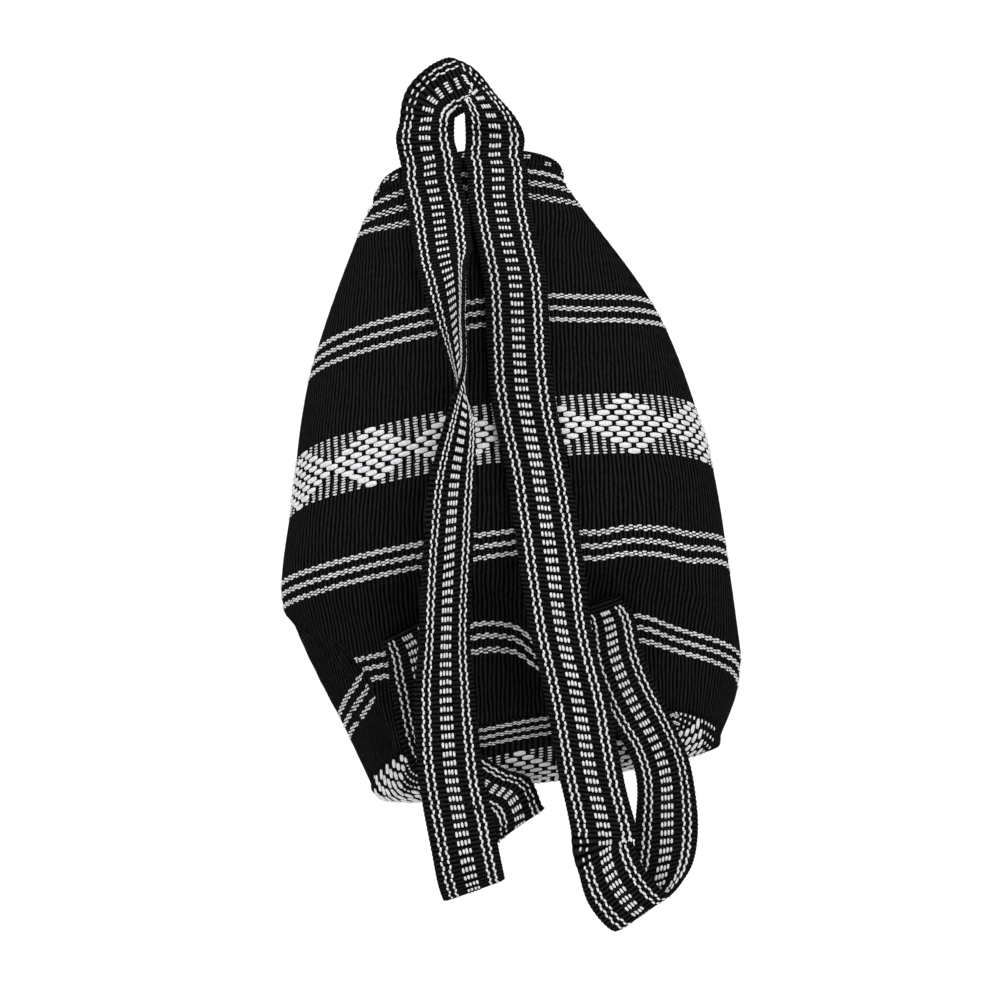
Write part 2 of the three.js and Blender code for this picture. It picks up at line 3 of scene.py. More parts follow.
import bmesh
import bpy
import numpy as np
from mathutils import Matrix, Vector


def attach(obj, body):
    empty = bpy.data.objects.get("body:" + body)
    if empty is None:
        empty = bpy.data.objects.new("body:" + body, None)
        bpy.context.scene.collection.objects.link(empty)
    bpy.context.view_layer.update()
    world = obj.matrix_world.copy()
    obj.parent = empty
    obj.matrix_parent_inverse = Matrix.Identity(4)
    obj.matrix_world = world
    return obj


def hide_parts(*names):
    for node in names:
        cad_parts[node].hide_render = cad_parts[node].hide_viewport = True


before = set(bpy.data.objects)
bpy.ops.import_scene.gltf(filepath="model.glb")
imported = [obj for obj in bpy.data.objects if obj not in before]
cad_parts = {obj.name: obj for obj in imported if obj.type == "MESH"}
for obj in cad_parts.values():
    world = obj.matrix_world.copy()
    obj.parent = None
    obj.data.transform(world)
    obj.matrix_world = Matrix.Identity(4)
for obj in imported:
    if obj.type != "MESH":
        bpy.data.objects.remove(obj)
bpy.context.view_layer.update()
rng = np.random.default_rng(7)

# Sizes in millimetres, as in the part's source.
DIAMONDS = 12
RIBS_PER_DIAMOND = 20
RIBS = DIAMONDS * RIBS_PER_DIAMOND
DIAMOND_WIDE = 46.4
GIRTH = DIAMONDS * DIAMOND_WIDE
RIB = GIRTH / RIBS
CLOTH = 2.0
HEM_TALL = 11.0
STRAP_WIDTH = 34.0
STRAP_THICK = 2.2
LOOP_HOLE = 5.8
LEG_DROP = 10.5
LEG_GAP = 1.3
LEG_ASIDE = 1.25
RIM = 369.0
# A pick of the weave, and the diamonds' place up the cloth, height and rows of floats.
PICK = 0.8
DIAMOND_ROW = 181.0
DIAMOND_TALL = 36.5
DIAMOND_ROWS = 11
# Height of each stripe group up the cloth and the step between its three stripes.
STRIPES = {
    "bottom_stripes": (47.0, 7.4),
    "lower_stripes": (114.0, 7.4),
    "upper_stripes": (257.0, 7.9),
    "mouth_stripes": (347.0, 7.4),
}
# The base: step between its stripes, squeeze of its weave, sag and how late it falls.
BASE_STEP = 4.1
BASE_SQUEEZE = 0.62
BASE_SAG = 32.1
BASE_FALL = 2.2
# How squarely the base hangs at its left and right ends, and its distance below the seam.
BASE_ENDS = (3.0, 2.2)
BASE_BELOW = 0.3
# Depth between ribs, length of a bead along a rib and distance of white yarn from the cloth.
RIB_DEEP = 0.5
BEAD = 1.2
YARN_OFF = 0.1
MM = 0.001

# Height up the cloth, then left and right edges as x, z and near and far middles as y, z.
RINGS = np.array([
    [0, -50, -375, 147, -348, -54, -325, 66, -364],
    [47, -69, -335, 157.3, -314, -44, -288, 60, -321],
    [114, -94, -273, 148, -246, -64, -236, 42, -263],
    [181, -92, -212, 137, -182, -60, -178, 52, -204],
    [257, -84, -139, 113, -110, -38, -113, 66, -138],
    [347, -57, -53, 63, -35, 0, -36, 62, -64],
    [369, -46, -33, 57, -23, 4, -17, 54, -46],
], float)


def smooth(x, low, high):
    t = np.clip((x - low) / (high - low), 0, 1)
    return t * t * (3 - 2 * t)


def unit(a):
    return a / np.maximum(np.linalg.norm(a, axis=-1, keepdims=True), 1e-9)


def run_along(points):
    """Length of a line, or of each line of a grid, up to each of its points."""
    steps = np.linalg.norm(np.diff(points, axis=0), axis=-1)
    return np.concatenate([np.zeros_like(steps[:1]), np.cumsum(steps, axis=0)])


def square_to(outward, way):
    """A way with the part that goes outward taken off."""
    return unit(way - outward * np.sum(way * outward, -1, keepdims=True))


def between(grid, i, j, k, ti, tj):
    """A grid's values between rows i and i + 1 and columns j and k, by shares."""
    low = grid[i, j] * (1 - tj) + grid[i, k] * tj
    high = grid[i + 1, j] * (1 - tj) + grid[i + 1, k] * tj
    return low * (1 - ti) + high * ti


def cubic(t, start, end, leaves, arrives):
    """A cubic between two values, by the slopes at which it leaves and arrives."""
    return (start * (2 * t**3 - 3 * t**2 + 1) + leaves * (t**3 - 2 * t**2 + t)
            + end * (3 * t**2 - 2 * t**3) + arrives * (t**3 - t**2))


# Cloth of the body, as a grid of points by place round it and height up it

def ring_values(height):
    """The eight ring numbers at a height, on a cubic through the rings."""
    knots = RINGS[:, 0]
    i = int(np.clip(np.searchsorted(knots, height, side="right") - 1, 0, len(knots) - 2))
    span = knots[i + 1] - knots[i]
    t = np.clip((height - knots[i]) / span, 0, 1)

    def slope(k):
        a, b = max(k - 1, 0), min(k + 1, len(knots) - 1)
        return (RINGS[b, 1:] - RINGS[a, 1:]) / (knots[b] - knots[a]) * span

    return cubic(t, RINGS[i, 1:], RINGS[i + 1, 1:], slope(i), slope(i + 1))


def oval(height, angle):
    """Points of the smooth ring at a height, by angle from the strap side's middle."""
    lx, lz, rx, rz, ny, nz, fy, fz = ring_values(height)
    middle = np.array([(lx + rx) / 2, (ny + fy) / 2, (lz + rz) / 2])
    side = np.array([rx, (ny + fy) / 2, rz]) - middle
    near = np.array([middle[0], ny, nz]) - middle
    far = np.array([middle[0], fy, fz]) - middle
    angle = np.asarray(angle, float)
    across = np.cos(angle)[..., None]
    forwards = np.where(across >= 0, near, far) * np.abs(across)
    return middle + forwards + side * np.sin(angle)[..., None]


# Shares of the girth at which the shape and the weave begin to gather, and over which they come to it.
SHAPE_GATHERS = 0.08
WEAVE_GATHERS = 0.14
GATHER_SPAN = 0.16
# Within this share the weave goes aside with the middle of the shape.
GOES_ASIDE = 0.12
RING_STEPS = 720
PLACE_STEPS = 2000


def gather_sum(place, begins):
    """The gathering up to a place, from the strap side's middle."""
    past = np.abs(place) - begins
    t = np.clip(past / GATHER_SPAN, 0, 1)
    return np.sign(place) * (GATHER_SPAN * (t**3 - t**4 / 2) + np.maximum(past - GATHER_SPAN, 0))


def ring_share(places, kept, begins):
    """Share of a drawn-in ring's length at places round the flat cloth."""
    draw = (1 - kept) / (2 * gather_sum(np.array(0.5), begins))
    return (places - draw * gather_sum(places, begins)) / kept


def ring_run(height):
    """Angles round a ring and the length of the ring up to each."""
    angles = np.linspace(0, 2 * math.pi, RING_STEPS + 1)
    return angles, run_along(oval(height, angles))


def smooth_row(height, places):
    """A row before its pleats and folds, and the share of its length that the cloth keeps."""
    angles, run = ring_run(height)
    kept = min(run[-1] / GIRTH, 1)
    draw = (1 - kept) / (2 * gather_sum(np.array(0.5), SHAPE_GATHERS))
    ease = 1 - draw * smooth(np.abs(places), SHAPE_GATHERS, SHAPE_GATHERS + GATHER_SPAN)
    share = ring_share(places, kept, SHAPE_GATHERS)
    wanted = (share - np.floor(share)) * run[-1]
    return oval(height, np.interp(wanted, run, angles)), ease


def place_table(height):
    """Places round the shape at a height and the places of the weave that lie on them."""
    kept = min(ring_run(height)[1][-1] / GIRTH, 1)
    fine = np.linspace(-0.5, 0.5, PLACE_STEPS + 1)
    shape, weave = (ring_share(fine, kept, begins) for begins in (SHAPE_GATHERS, WEAVE_GATHERS))
    woven = np.interp(shape, weave, fine)
    aside = (oval(height, 0.0)[0] - oval(DIAMOND_ROW, 0.0)[0]) / GIRTH
    return fine, woven + aside * smooth(-np.abs(woven), -0.5, -GOES_ASIDE)


def grid_normals(grid, wraps):
    if wraps:
        across = np.roll(grid, -1, 1) - np.roll(grid, 1, 1)
    else:
        across = np.gradient(grid, axis=1)
    return unit(np.cross(across, np.gradient(grid, axis=0)))


# Creases of the near side: start and end as x, z, how wide each is and how far it stands out.
CREASES = [
    ((-20, -262), (-12, -330), 11, -5.0),
    ((95, -240), (108, -205), 13, 3.5),
    ((72, -262), (92, -300), 10, -3.0),
    ((128, -262), (150, -300), 9, 2.0),
    ((-70, -180), (-84, -262), 16, 2.5),
    ((30, -250), (38, -320), 16, -4.0),
    ((-82, -290), (-52, -316), 4.5, -2.2),
    ((-66, -300), (-44, -324), 4.5, 1.6),
    ((-68, -322), (-40, -344), 4.5, -2.0),
]
# Places where the near side is pulled up or down: x, z, how wide, how tall and how far.
PULLS = [
    (72, -236, 16, 22, -5.0),
    (98, -234, 10, 22, -1.0),
    (122, -240, 18, 24, -4.5),
    (10, -286, 20, 20, 6.5),
    (44, -288, 9, 20, -10.0),
    (96, -282, 18, 22, 6.0),
]
# Places where the weave slides up or down within the near side, in the same form.
SLIDES = [
    (73, -104, 26, 22, -4.5),
    (102, -112, 16, 22, -2.5),
    (58, -46, 30, 20, -13.0),
    (-26, -50, 36, 22, -15.0),
]
# The fold that turns the lower left corner of the bag under.
CORNER_FOLD = np.array([(-97, -281), (-60, -299), (-46, -316), (-33, -352)], float)
CORNER_WAY = np.array([0.396, 0, -0.918])
# Half width of its edge, and how far from it the cloth still slides.
FOLD_EDGE = 1.5
FOLD_REACH = 90
# How far the cloth stands out above the fold and in below it, with the distance over which that fades.
FOLD_OUT = (3.0, 9)
FOLD_IN = (3.5, 7)
# How far the cloth slides below the fold and above it, in the same form.
SLIDE_BELOW = (10, 11)
SLIDE_ABOVE = (8, 24)


def line_gap(flat, start, end):
    """Distance from a line and whether each point is on its left, walking from start to end."""
    way = end - start
    along = np.clip(((flat - start) @ way) / (way @ way), 0, 1)
    gap = np.linalg.norm(flat - (start + along[..., None] * way), axis=-1)
    left = way[0] * (flat[..., 1] - start[1]) - way[1] * (flat[..., 0] - start[0]) > 0
    return gap, left


def crease_lift(points):
    """How far the near side's folds stand out at each point."""
    flat = points[..., [0, 2]]
    lift = np.zeros(points.shape[:-1])
    for start, end, wide, tall in CREASES:
        gap, _ = line_gap(flat, np.array(start, float), np.array(end, float))
        lift += tall * np.exp(-(gap / wide) ** 2)
    return lift


def corner_gap(points):
    """Distance from the corner's fold, less than 0 on the turned-under side."""
    flat = points[..., [0, 2]]
    best = np.full(points.shape[:-1], 1e6)
    for start, end in zip(CORNER_FOLD[:-1], CORNER_FOLD[1:]):
        gap, left = line_gap(flat, start, end)
        nearer = gap < np.abs(best)
        best = np.where(nearer, np.where(left, gap, -gap), best)
    return best


def folded(grid, normal, near, fade):
    """The near side with its creases, pulls, slides and turned-under corner."""
    lift = crease_lift(grid)
    gap = corner_gap(grid)
    under = smooth(-gap, -FOLD_EDGE, FOLD_EDGE)
    above, below = np.maximum(gap, 0), np.minimum(gap, 0)
    (out, out_fades), (dip, dip_fades) = FOLD_OUT, FOLD_IN
    lift += (1 - under) * out * np.exp(-above / out_fades) - under * dip * np.exp(gap / dip_fades)
    (down, down_fades), (back, back_fades) = SLIDE_BELOW, SLIDE_ABOVE
    slide = under * down * (1 - np.exp(below / down_fades))
    slide = slide - (1 - under) * back * np.exp(-above / back_fades)
    slide = np.where(np.abs(gap) < FOLD_REACH, slide, 0)
    moved = grid + normal * (lift * near * fade)[..., None]
    moved += CORNER_WAY * (slide * near * fade)[..., None]

    def lifted(spots):
        """How far up each point goes."""
        flat_x, flat_z = grid[..., 0], grid[..., 2]
        return near * fade * sum(far * np.exp(-((flat_x - x) / wide) ** 2 - ((flat_z - z) / tall) ** 2)
                                 for x, z, wide, tall, far in spots)

    moved[..., 2] += lifted(PULLS)
    upward = np.array([0, 0, 1]) - normal * normal[..., 2:]
    return moved + upward * lifted(SLIDES)[..., None]


HEIGHT_STEP = 2.0
PLACES_PER_RIB = 4
HEIGHTS = np.linspace(0, RIM, int(RIM / HEIGHT_STEP) + 1)
PLACES = np.arange(RIBS * PLACES_PER_RIB) / (RIBS * PLACES_PER_RIB) - 0.5
# Places round the girth between which the pleats grow, and how full they are.
PLEATS_GROW = (0.2, 0.32)
PLEAT_FULL = 0.6
# How far the hem stands out, and the widths of its step and of the groove at its foot.
HEM_OUT = 1.2
HEM_STEP = 3
HEM_GROOVE = 2.5
# How far the near side's cloth faces forwards, from barely to wholly.
NEAR_SIDE = (-0.1, 0.35)
# Heights over which folds fade to the seam and to the rim.
FADE_TO_SEAM = 25
FADE_TO_RIM = 40


def cloth_grid():
    """The wall's outer face with pleats, hem and folds, and its outward directions."""
    rows, eases = zip(*(smooth_row(h, PLACES) for h in HEIGHTS))
    grid, ease = np.array(rows), np.array(eases)
    normal = grid_normals(grid, True)
    fade = smooth(np.abs(PLACES), *PLEATS_GROW)
    stands = PLEAT_FULL * (GIRTH / (4 * DIAMONDS)) * np.sqrt(np.maximum(1 - ease**2, 0)) * fade
    phase = 2 * math.pi * DIAMONDS * PLACES
    hem_foot = HEIGHTS - (RIM - HEM_TALL)
    hem = HEM_OUT * smooth(hem_foot, 0, HEM_STEP) - HEM_OUT * np.exp(-(hem_foot / HEM_GROOVE) ** 2)
    grid = grid + normal * (stands * np.sin(phase) + hem[:, None])[..., None]
    near = smooth(-normal[..., 1], *NEAR_SIDE)
    fade = smooth(HEIGHTS, 0, FADE_TO_SEAM)[:, None] * smooth(RIM - HEIGHTS, 0, FADE_TO_RIM)[:, None]
    grid = folded(grid, normal, near, fade)
    return grid, grid_normals(grid, True)


CLOTH_GRID, CLOTH_NORMAL = cloth_grid()


def on_cloth(place, height):
    """Point, outward, across and up directions at places round and heights up the cloth."""
    i = np.clip(np.asarray(height, float) / RIM * (len(HEIGHTS) - 1), 0, len(HEIGHTS) - 1.001)
    j = ((np.asarray(place, float) + 0.5) % 1) * len(PLACES)
    i0, j0 = i.astype(int), j.astype(int) % len(PLACES)
    j1 = (j0 + 1) % len(PLACES)
    ti, tj = (i - i0)[..., None], (j - np.floor(j))[..., None]
    point, outward = (between(grid, i0, j0, j1, ti, tj) for grid in (CLOTH_GRID, CLOTH_NORMAL))
    outward = unit(outward)
    across = square_to(outward, unit(CLOTH_GRID[i0, j1] - CLOTH_GRID[i0, j0]))
    return point, outward, across, np.cross(outward, across)


# Meshes

# Points nearer than this many metres are one.
SAME_PLACE = 1e-6


def put_in(name, data):
    obj = bpy.data.objects.new(name, data)
    bpy.context.scene.collection.objects.link(obj)
    return obj


def add_mesh(name, points, faces, material, uv=None):
    """A smooth mesh from points in millimetres, with the weave's coordinates if there are any."""
    mesh = bpy.data.meshes.new(name)
    mesh.from_pydata((np.asarray(points) * MM).tolist(), [], faces)
    mesh.polygons.foreach_set("use_smooth", [True] * len(mesh.polygons))
    if uv is not None:
        layer = mesh.uv_layers.new(name="weave")
        loops = np.zeros(len(mesh.loops), int)
        mesh.loops.foreach_get("vertex_index", loops)
        layer.data.foreach_set("uv", np.asarray(uv, np.float32)[loops].ravel())
    mesh.materials.append(material)
    return put_in(name, mesh)


def joined(obj):
    """The piece with points in one place made one, so that no face is left without an area."""
    shape = bmesh.new()
    shape.from_mesh(obj.data)
    bmesh.ops.remove_doubles(shape, verts=shape.verts, dist=SAME_PLACE)
    shape.to_mesh(obj.data)
    shape.free()
    return obj


def grid_faces(rows, columns, wraps, first=0, flip=False):
    faces = []
    for i in range(rows - 1):
        for j in range(columns if wraps else columns - 1):
            k = (j + 1) % columns
            a, b = first + i * columns, first + (i + 1) * columns
            face = (a + j, a + k, b + k, b + j)
            faces.append(face[::-1] if flip else face)
    return faces


# Materials

# Scale and detail of the noises that make yarn fuzzy and uneven.
FUZZ = (900.0, 4.0)
UNEVEN = (330.0, 3.0)
# Ends of the dark and light tones, by the fuzz and by the height of the ribs; the dark tone by the ribs'
# height is painted shade in the valleys between ribs and beads.
FUZZ_TONES = (0.35, 0.7)
RIB_SHADE_TONES = (0.16, 0.9)
SHEEN_ROUGHNESS = 0.5
# How square ribs are, and how far one's beads lie from the next one's.
RIB_SQUARE = 1.7
BEADS_ASIDE = 0.5
# Shares of unevenness, fuzz and beads in the ribs' height, what is taken off and the fuzz on top.
UNEVEN_SHARE = 1.1
FUZZ_SHARE = 0.9
BEAD_SHARE = 0.8
TAKEN_OFF = 0.6
FUZZ_ON_TOP = 0.2
BUMP_STRENGTH = 0.8
# Share of the height that sets the colour, which paints shade into the valleys between ribs and beads.
SHADE_TONE_SHARE = 0.8


def noise_on(nodes, links, scale, detail):
    """Noise on the piece's own coordinates."""
    coords = nodes.new("ShaderNodeTexCoord")
    noise = nodes.new("ShaderNodeTexNoise")
    noise.inputs["Scale"].default_value = scale
    noise.inputs["Detail"].default_value = detail
    links.new(coords.outputs["Object"], noise.inputs["Vector"])
    return noise.outputs["Fac"]


def two_tones(nodes, links, value, tones, ends):
    """A colour from a dark tone to a light one, by a value between two ends."""
    ramp = nodes.new("ShaderNodeValToRGB")
    for element, tone, end in zip(ramp.color_ramp.elements, tones, ends):
        element.color = (*tone, 1)
        element.position = end
    links.new(value, ramp.inputs["Fac"])
    return ramp.outputs["Color"]


def rough(name, roughness):
    material = bpy.data.materials.new(name)
    material.use_nodes = True
    shader = material.node_tree.nodes["Principled BSDF"]
    shader.inputs["Roughness"].default_value = roughness
    return material, shader


def cotton(name, roughness, sheen, shine):
    """Rough yarn without its colour: material, nodes, links, shader and fuzz."""
    material, shader = rough(name, roughness)
    nodes, links = material.node_tree.nodes, material.node_tree.links
    shader.inputs["Specular IOR Level"].default_value = shine
    shader.inputs["Sheen Weight"].default_value = sheen
    shader.inputs["Sheen Roughness"].default_value = SHEEN_ROUGHNESS
    return material, nodes, links, shader, noise_on(nodes, links, *FUZZ)


def plain(name, tones, roughness, sheen, shine):
    material, nodes, links, shader, fuzz = cotton(name, roughness, sheen, shine)
    links.new(two_tones(nodes, links, fuzz, tones, FUZZ_TONES), shader.inputs["Base Color"])
    return material


def ribbed(name, tones, ribs_axis, depth):
    """Black cotton with rounded ribs, one for each unit of the weave's own coordinate. Its colour
    follows the ribs' height, so the valleys between ribs and beads carry painted shade, with random tone
    from the noise.
    """
    material, nodes, links, shader, fuzz = cotton(name, roughness=0.95, sheen=0.0, shine=0.006)
    weave = nodes.new("ShaderNodeUVMap")
    weave.uv_map = "weave"
    split = nodes.new("ShaderNodeSeparateXYZ")
    links.new(weave.outputs["UV"], split.inputs[0])

    def reckon(operation, *values):
        """An operation on numbers and other results."""
        node = nodes.new("ShaderNodeMath")
        node.operation = operation
        for socket, value in zip(node.inputs, values):
            if isinstance(value, float):
                socket.default_value = value
            else:
                links.new(value, socket)
        return node.outputs[0]

    def humps(value):
        """Rounded humps, one for each unit."""
        return reckon("ABSOLUTE", reckon("SINE", reckon("MULTIPLY", value, math.pi)))

    across, along = split.outputs[ribs_axis], split.outputs[1 - ribs_axis]
    rib = reckon("POWER", humps(across), RIB_SQUARE)
    shift = reckon("MULTIPLY", reckon("FLOOR", across), BEADS_ASIDE)
    bead = humps(reckon("ADD", along, shift))
    uneven = noise_on(nodes, links, *UNEVEN)
    yarn = reckon("MULTIPLY_ADD", uneven, UNEVEN_SHARE, reckon("MULTIPLY", fuzz, FUZZ_SHARE))
    beaded = reckon("MULTIPLY_ADD", bead, BEAD_SHARE, reckon("SUBTRACT", yarn, TAKEN_OFF))
    height = reckon("MULTIPLY_ADD", fuzz, FUZZ_ON_TOP, reckon("MULTIPLY", rib, beaded))
    bump = nodes.new("ShaderNodeBump")
    bump.inputs["Distance"].default_value = depth
    bump.inputs["Strength"].default_value = BUMP_STRENGTH
    links.new(height, bump.inputs["Height"])
    links.new(bump.outputs["Normal"], shader.inputs["Normal"])
    # Painted shade: the colour is dark in the valleys between ribs and beads and light on their crests,
    # with random tone from the noise.
    colour = two_tones(nodes, links, reckon("MULTIPLY", height, SHADE_TONE_SHARE), tones, RIB_SHADE_TONES)
    links.new(colour, shader.inputs["Base Color"])
    return material


# Dark tone for the valleys and light tone for the crests of the ribs: painted shade, besides the black
# of the cotton.
BLACK = ribbed("black_cotton", ((0.0002, 0.0002, 0.0003), (0.0128, 0.0128, 0.014)),
               ribs_axis=0, depth=0.0005)
BAND = ribbed("band_cotton", ((0.0003, 0.0003, 0.0004), (0.012, 0.0118, 0.0129)),
              ribs_axis=1, depth=0.0004)
THREAD = plain("black_thread", ((0.003, 0.003, 0.0035), (0.012, 0.012, 0.013)),
               roughness=0.9, sheen=0.0, shine=0.05)
WHITE = plain("white_cotton", ((0.4, 0.4, 0.41), (0.66, 0.66, 0.68)),
              roughness=0.9, sheen=0.05, shine=0.1)


# Yarn floats, laid as instances of one soft pillow on points that carry their own turn and size

# The pillow is a metre each way until it is laid. Its ends are narrower and lower by these shares.
METRE = 1000.0
ENDS_NARROWER = 0.72
ENDS_LOWER = 0.9


def yarn_shape():
    rows, columns = 5, 4
    points = []
    for i in range(rows):
        x = i / (rows - 1) - 0.5
        away = math.sin(x * math.pi)
        half = 0.5 * math.sqrt(1 - ENDS_NARROWER * away ** 2)
        for j in range(columns):
            y = (j / (columns - 1)) * 2 - 1
            rise = math.cos(y * math.pi / 2) * (1 - (2 * x) ** 4 * ENDS_LOWER)
            points.append((away * METRE / 2, y * half * METRE, rise * METRE))
    obj = add_mesh("yarn_shape", points, grid_faces(rows, columns, False, flip=True), WHITE)
    obj.hide_render = True
    return obj


def yarn_tree():
    """The tree that lays the pillow on points, with the names of its two inputs."""
    tree = bpy.data.node_groups.new("lay_yarn", "GeometryNodeTree")

    def socket(name, way, kind):
        return tree.interface.new_socket(name, in_out=way, socket_type="NodeSocket" + kind)

    socket("Geometry", "INPUT", "Geometry")
    shape = socket("Shape", "INPUT", "Object")
    finish = socket("Finish", "INPUT", "Material")
    socket("Geometry", "OUTPUT", "Geometry")
    node, link = tree.nodes.new, tree.links.new
    start, end = node("NodeGroupInput"), node("NodeGroupOutput")
    info = node("GeometryNodeObjectInfo")
    lay = node("GeometryNodeInstanceOnPoints")
    solid = node("GeometryNodeRealizeInstances")
    paint = node("GeometryNodeSetMaterial")
    link(start.outputs["Geometry"], lay.inputs["Points"])
    link(start.outputs["Shape"], info.inputs["Object"])
    link(info.outputs["Geometry"], lay.inputs["Instance"])
    for name, use in (("turn", "Rotation"), ("size", "Scale")):
        read = node("GeometryNodeInputNamedAttribute")
        read.data_type = "FLOAT_VECTOR"
        read.inputs["Name"].default_value = name
        link(read.outputs["Attribute"], lay.inputs[use])
    link(lay.outputs["Instances"], solid.inputs["Geometry"])
    link(solid.outputs["Geometry"], paint.inputs["Geometry"])
    link(start.outputs["Finish"], paint.inputs["Material"])
    link(paint.outputs["Geometry"], end.inputs["Geometry"])
    return tree, shape.identifier, finish.identifier


YARN_SHAPE = yarn_shape()
YARN_TREE = yarn_tree()


def lay_yarn(name, spots, sizes, material):
    """A piece of yarn floats. Spots are points, their outward directions and the ways the floats run."""
    point, outward, along = spots
    across = np.cross(outward, along)
    turn = np.stack([
        np.arctan2(across[:, 2], outward[:, 2]),
        -np.arcsin(np.clip(along[:, 2], -1, 1)),
        np.arctan2(along[:, 1], along[:, 0]),
    ], -1)
    mesh = bpy.data.meshes.new(name + "_places")
    mesh.from_pydata((point * MM).tolist(), [], [])
    for attribute, values in (("turn", turn), ("size", np.asarray(sizes) * MM)):
        layer = mesh.attributes.new(attribute, "FLOAT_VECTOR", "POINT")
        layer.data.foreach_set("vector", np.asarray(values, np.float32).ravel())
    places = put_in(name + "_places", mesh)
    tree, shape, finish = YARN_TREE
    modifier = places.modifiers.new("lay", "NODES")
    modifier.node_group = tree
    modifier[shape] = YARN_SHAPE
    modifier[finish] = material
    bpy.context.view_layer.update()
    graph = bpy.context.evaluated_depsgraph_get()
    made = bpy.data.meshes.new_from_object(places.evaluated_get(graph), depsgraph=graph)
    made.polygons.foreach_set("use_smooth", [True] * len(made.polygons))
    obj = put_in(name, made)
    bpy.data.objects.remove(places)
    return obj


def jitter(count, spread):
    """Small random differences, drawn in a fixed order."""
    return rng.normal(0, spread, count)


# Pattern of the cloth, in ribs across and millimetres up: centre, then length and width of each float

STRIPE_FLOAT = (2.25, 0.96)
DIAMOND_FLOAT = (6.7, 3.0)
# Thin picks between diamonds: length, and width as a fixed part and one that a row's picks share.
THIN_LONG = 2.4
THIN_WIDE = 0.5
THIN_SHARED = 0.9


def three_stripes(ribs, step):
    """Three stripes of four white picks in plain weave: each rib shows two of a stripe's picks."""
    rib = np.repeat(np.arange(ribs), 2)
    up = (np.tile([-1.5, 0.5], ribs) + (rib % 2)) * PICK
    up = np.concatenate([up - step, up, up + step])
    return np.tile(rib, 3).astype(float), up, *(np.full(len(up), size) for size in STRIPE_FLOAT)


def diamond_floats(middles, widest=RIBS_PER_DIAMOND // 2, picks=2):
    """White diamonds of long floats with thin picks between them. Middles and half width are in ribs."""
    floats = []
    row_tall = DIAMOND_TALL / DIAMOND_ROWS
    half_rows, half_ribs = DIAMOND_ROWS // 2, RIBS_PER_DIAMOND // 2
    for row in range(-half_rows, half_rows + 1):
        reach = widest - 2 * abs(row)
        for middle in middles:
            for offset in range(-reach, reach + 1, 4):
                floats.append((middle + offset, row * row_tall, *DIAMOND_FLOAT))
            for offset in range(1 - half_ribs, half_ribs, 2):
                if abs(offset) > reach + 1:
                    for pick in range(picks):
                        up = (row + (2 * pick + 1 - picks) / 4) * row_tall
                        floats.append((middle + offset, up, THIN_LONG, THIN_WIDE + THIN_SHARED / picks))
    return np.array(floats, float).T


# How far the wall's floats stray: aside in ribs, up in millimetres, and in length and width as shares.
STRAY_ASIDE = 0.05
STRAY_UP = 0.07
STRAY_LONG = 0.07
STRAY_WIDE = 0.06
# Least share of its length that a gathered float keeps, and where every other one is left out.
LEAST_KEPT = 0.4
CROWDED = 0.62
# Drawing out past which a float grows, the most that it grows and where it is left out.
GROWS_PAST = 1.05
GROWS_MOST = 1.4
STEEP = 1.7
# Thickness of a float on the wall and on the base: a share of its width and a fixed part.
WALL_THICK = (0.28, 0.25)
BASE_THICK = (0.2, 0.2)


def float_sizes(long, wide, thick):
    share, fixed = thick
    return np.stack([long, wide, share * wide + fixed], -1)


def lay_on_cloth(name, floats, height, start):
    """Floats on the wall, shorter where it is gathered, on every other rib where it is gathered most."""
    rib, up, long, wide = floats
    woven = start + (rib + jitter(len(rib), STRAY_ASIDE)) / RIBS
    woven = (woven + 0.5) % 1 - 0.5
    fine, table = place_table(height)
    crowd = np.clip(np.interp(woven, table, np.gradient(fine, table)), LEAST_KEPT, 1)
    shown = (crowd > CROWDED) | (rib % 2 < 1)
    place, up, crowd = np.interp(woven, table, fine)[shown], up[shown], crowd[shown]
    point, outward, across, _ = on_cloth(place, height + up + jitter(len(up), STRAY_UP))
    ahead, behind = (on_cloth(place + step, height + up)[0] for step in (0.5 / RIBS, -0.5 / RIBS))
    drawn = np.linalg.norm(ahead - behind, axis=1) / RIB
    grown = np.clip(drawn / GROWS_PAST, 1, GROWS_MOST)
    long = long[shown] * crowd * grown * (1 + jitter(len(up), STRAY_LONG))
    wide = wide[shown] * (1 + jitter(len(up), STRAY_WIDE))
    size = float_sizes(long, wide, WALL_THICK)
    lies = drawn < STEEP
    spots = (point + outward * YARN_OFF, outward, across)
    return lay_yarn(name, [values[lies] for values in spots], size[lies], WHITE)


# Body wall: outer face, rim and inner face in one closed cloth

# Rows of the cloth's grid: end of the folds, start of the hem, the inner face's first row and step.
FOLDS_END_ROW = 70
HEM_ROW = 178
INNER_ROW = 168
INNER_STEP = 14
# How the ribs wander: how far in ribs, over which height and how often round the girth.
WANDERS = ((0.1, 7, 23), (0.08, 3.3, -61))
# Crowding at which ribs begin to lose their relief and at which it is gone.
RELIEF_FADES = (1.3, 1.9)


def rib_relief(ribs):
    """How far the cloth dips between its ribs, by a count of ribs across."""
    return -RIB_DEEP * (1 - np.abs(np.sin(math.pi * ribs)))


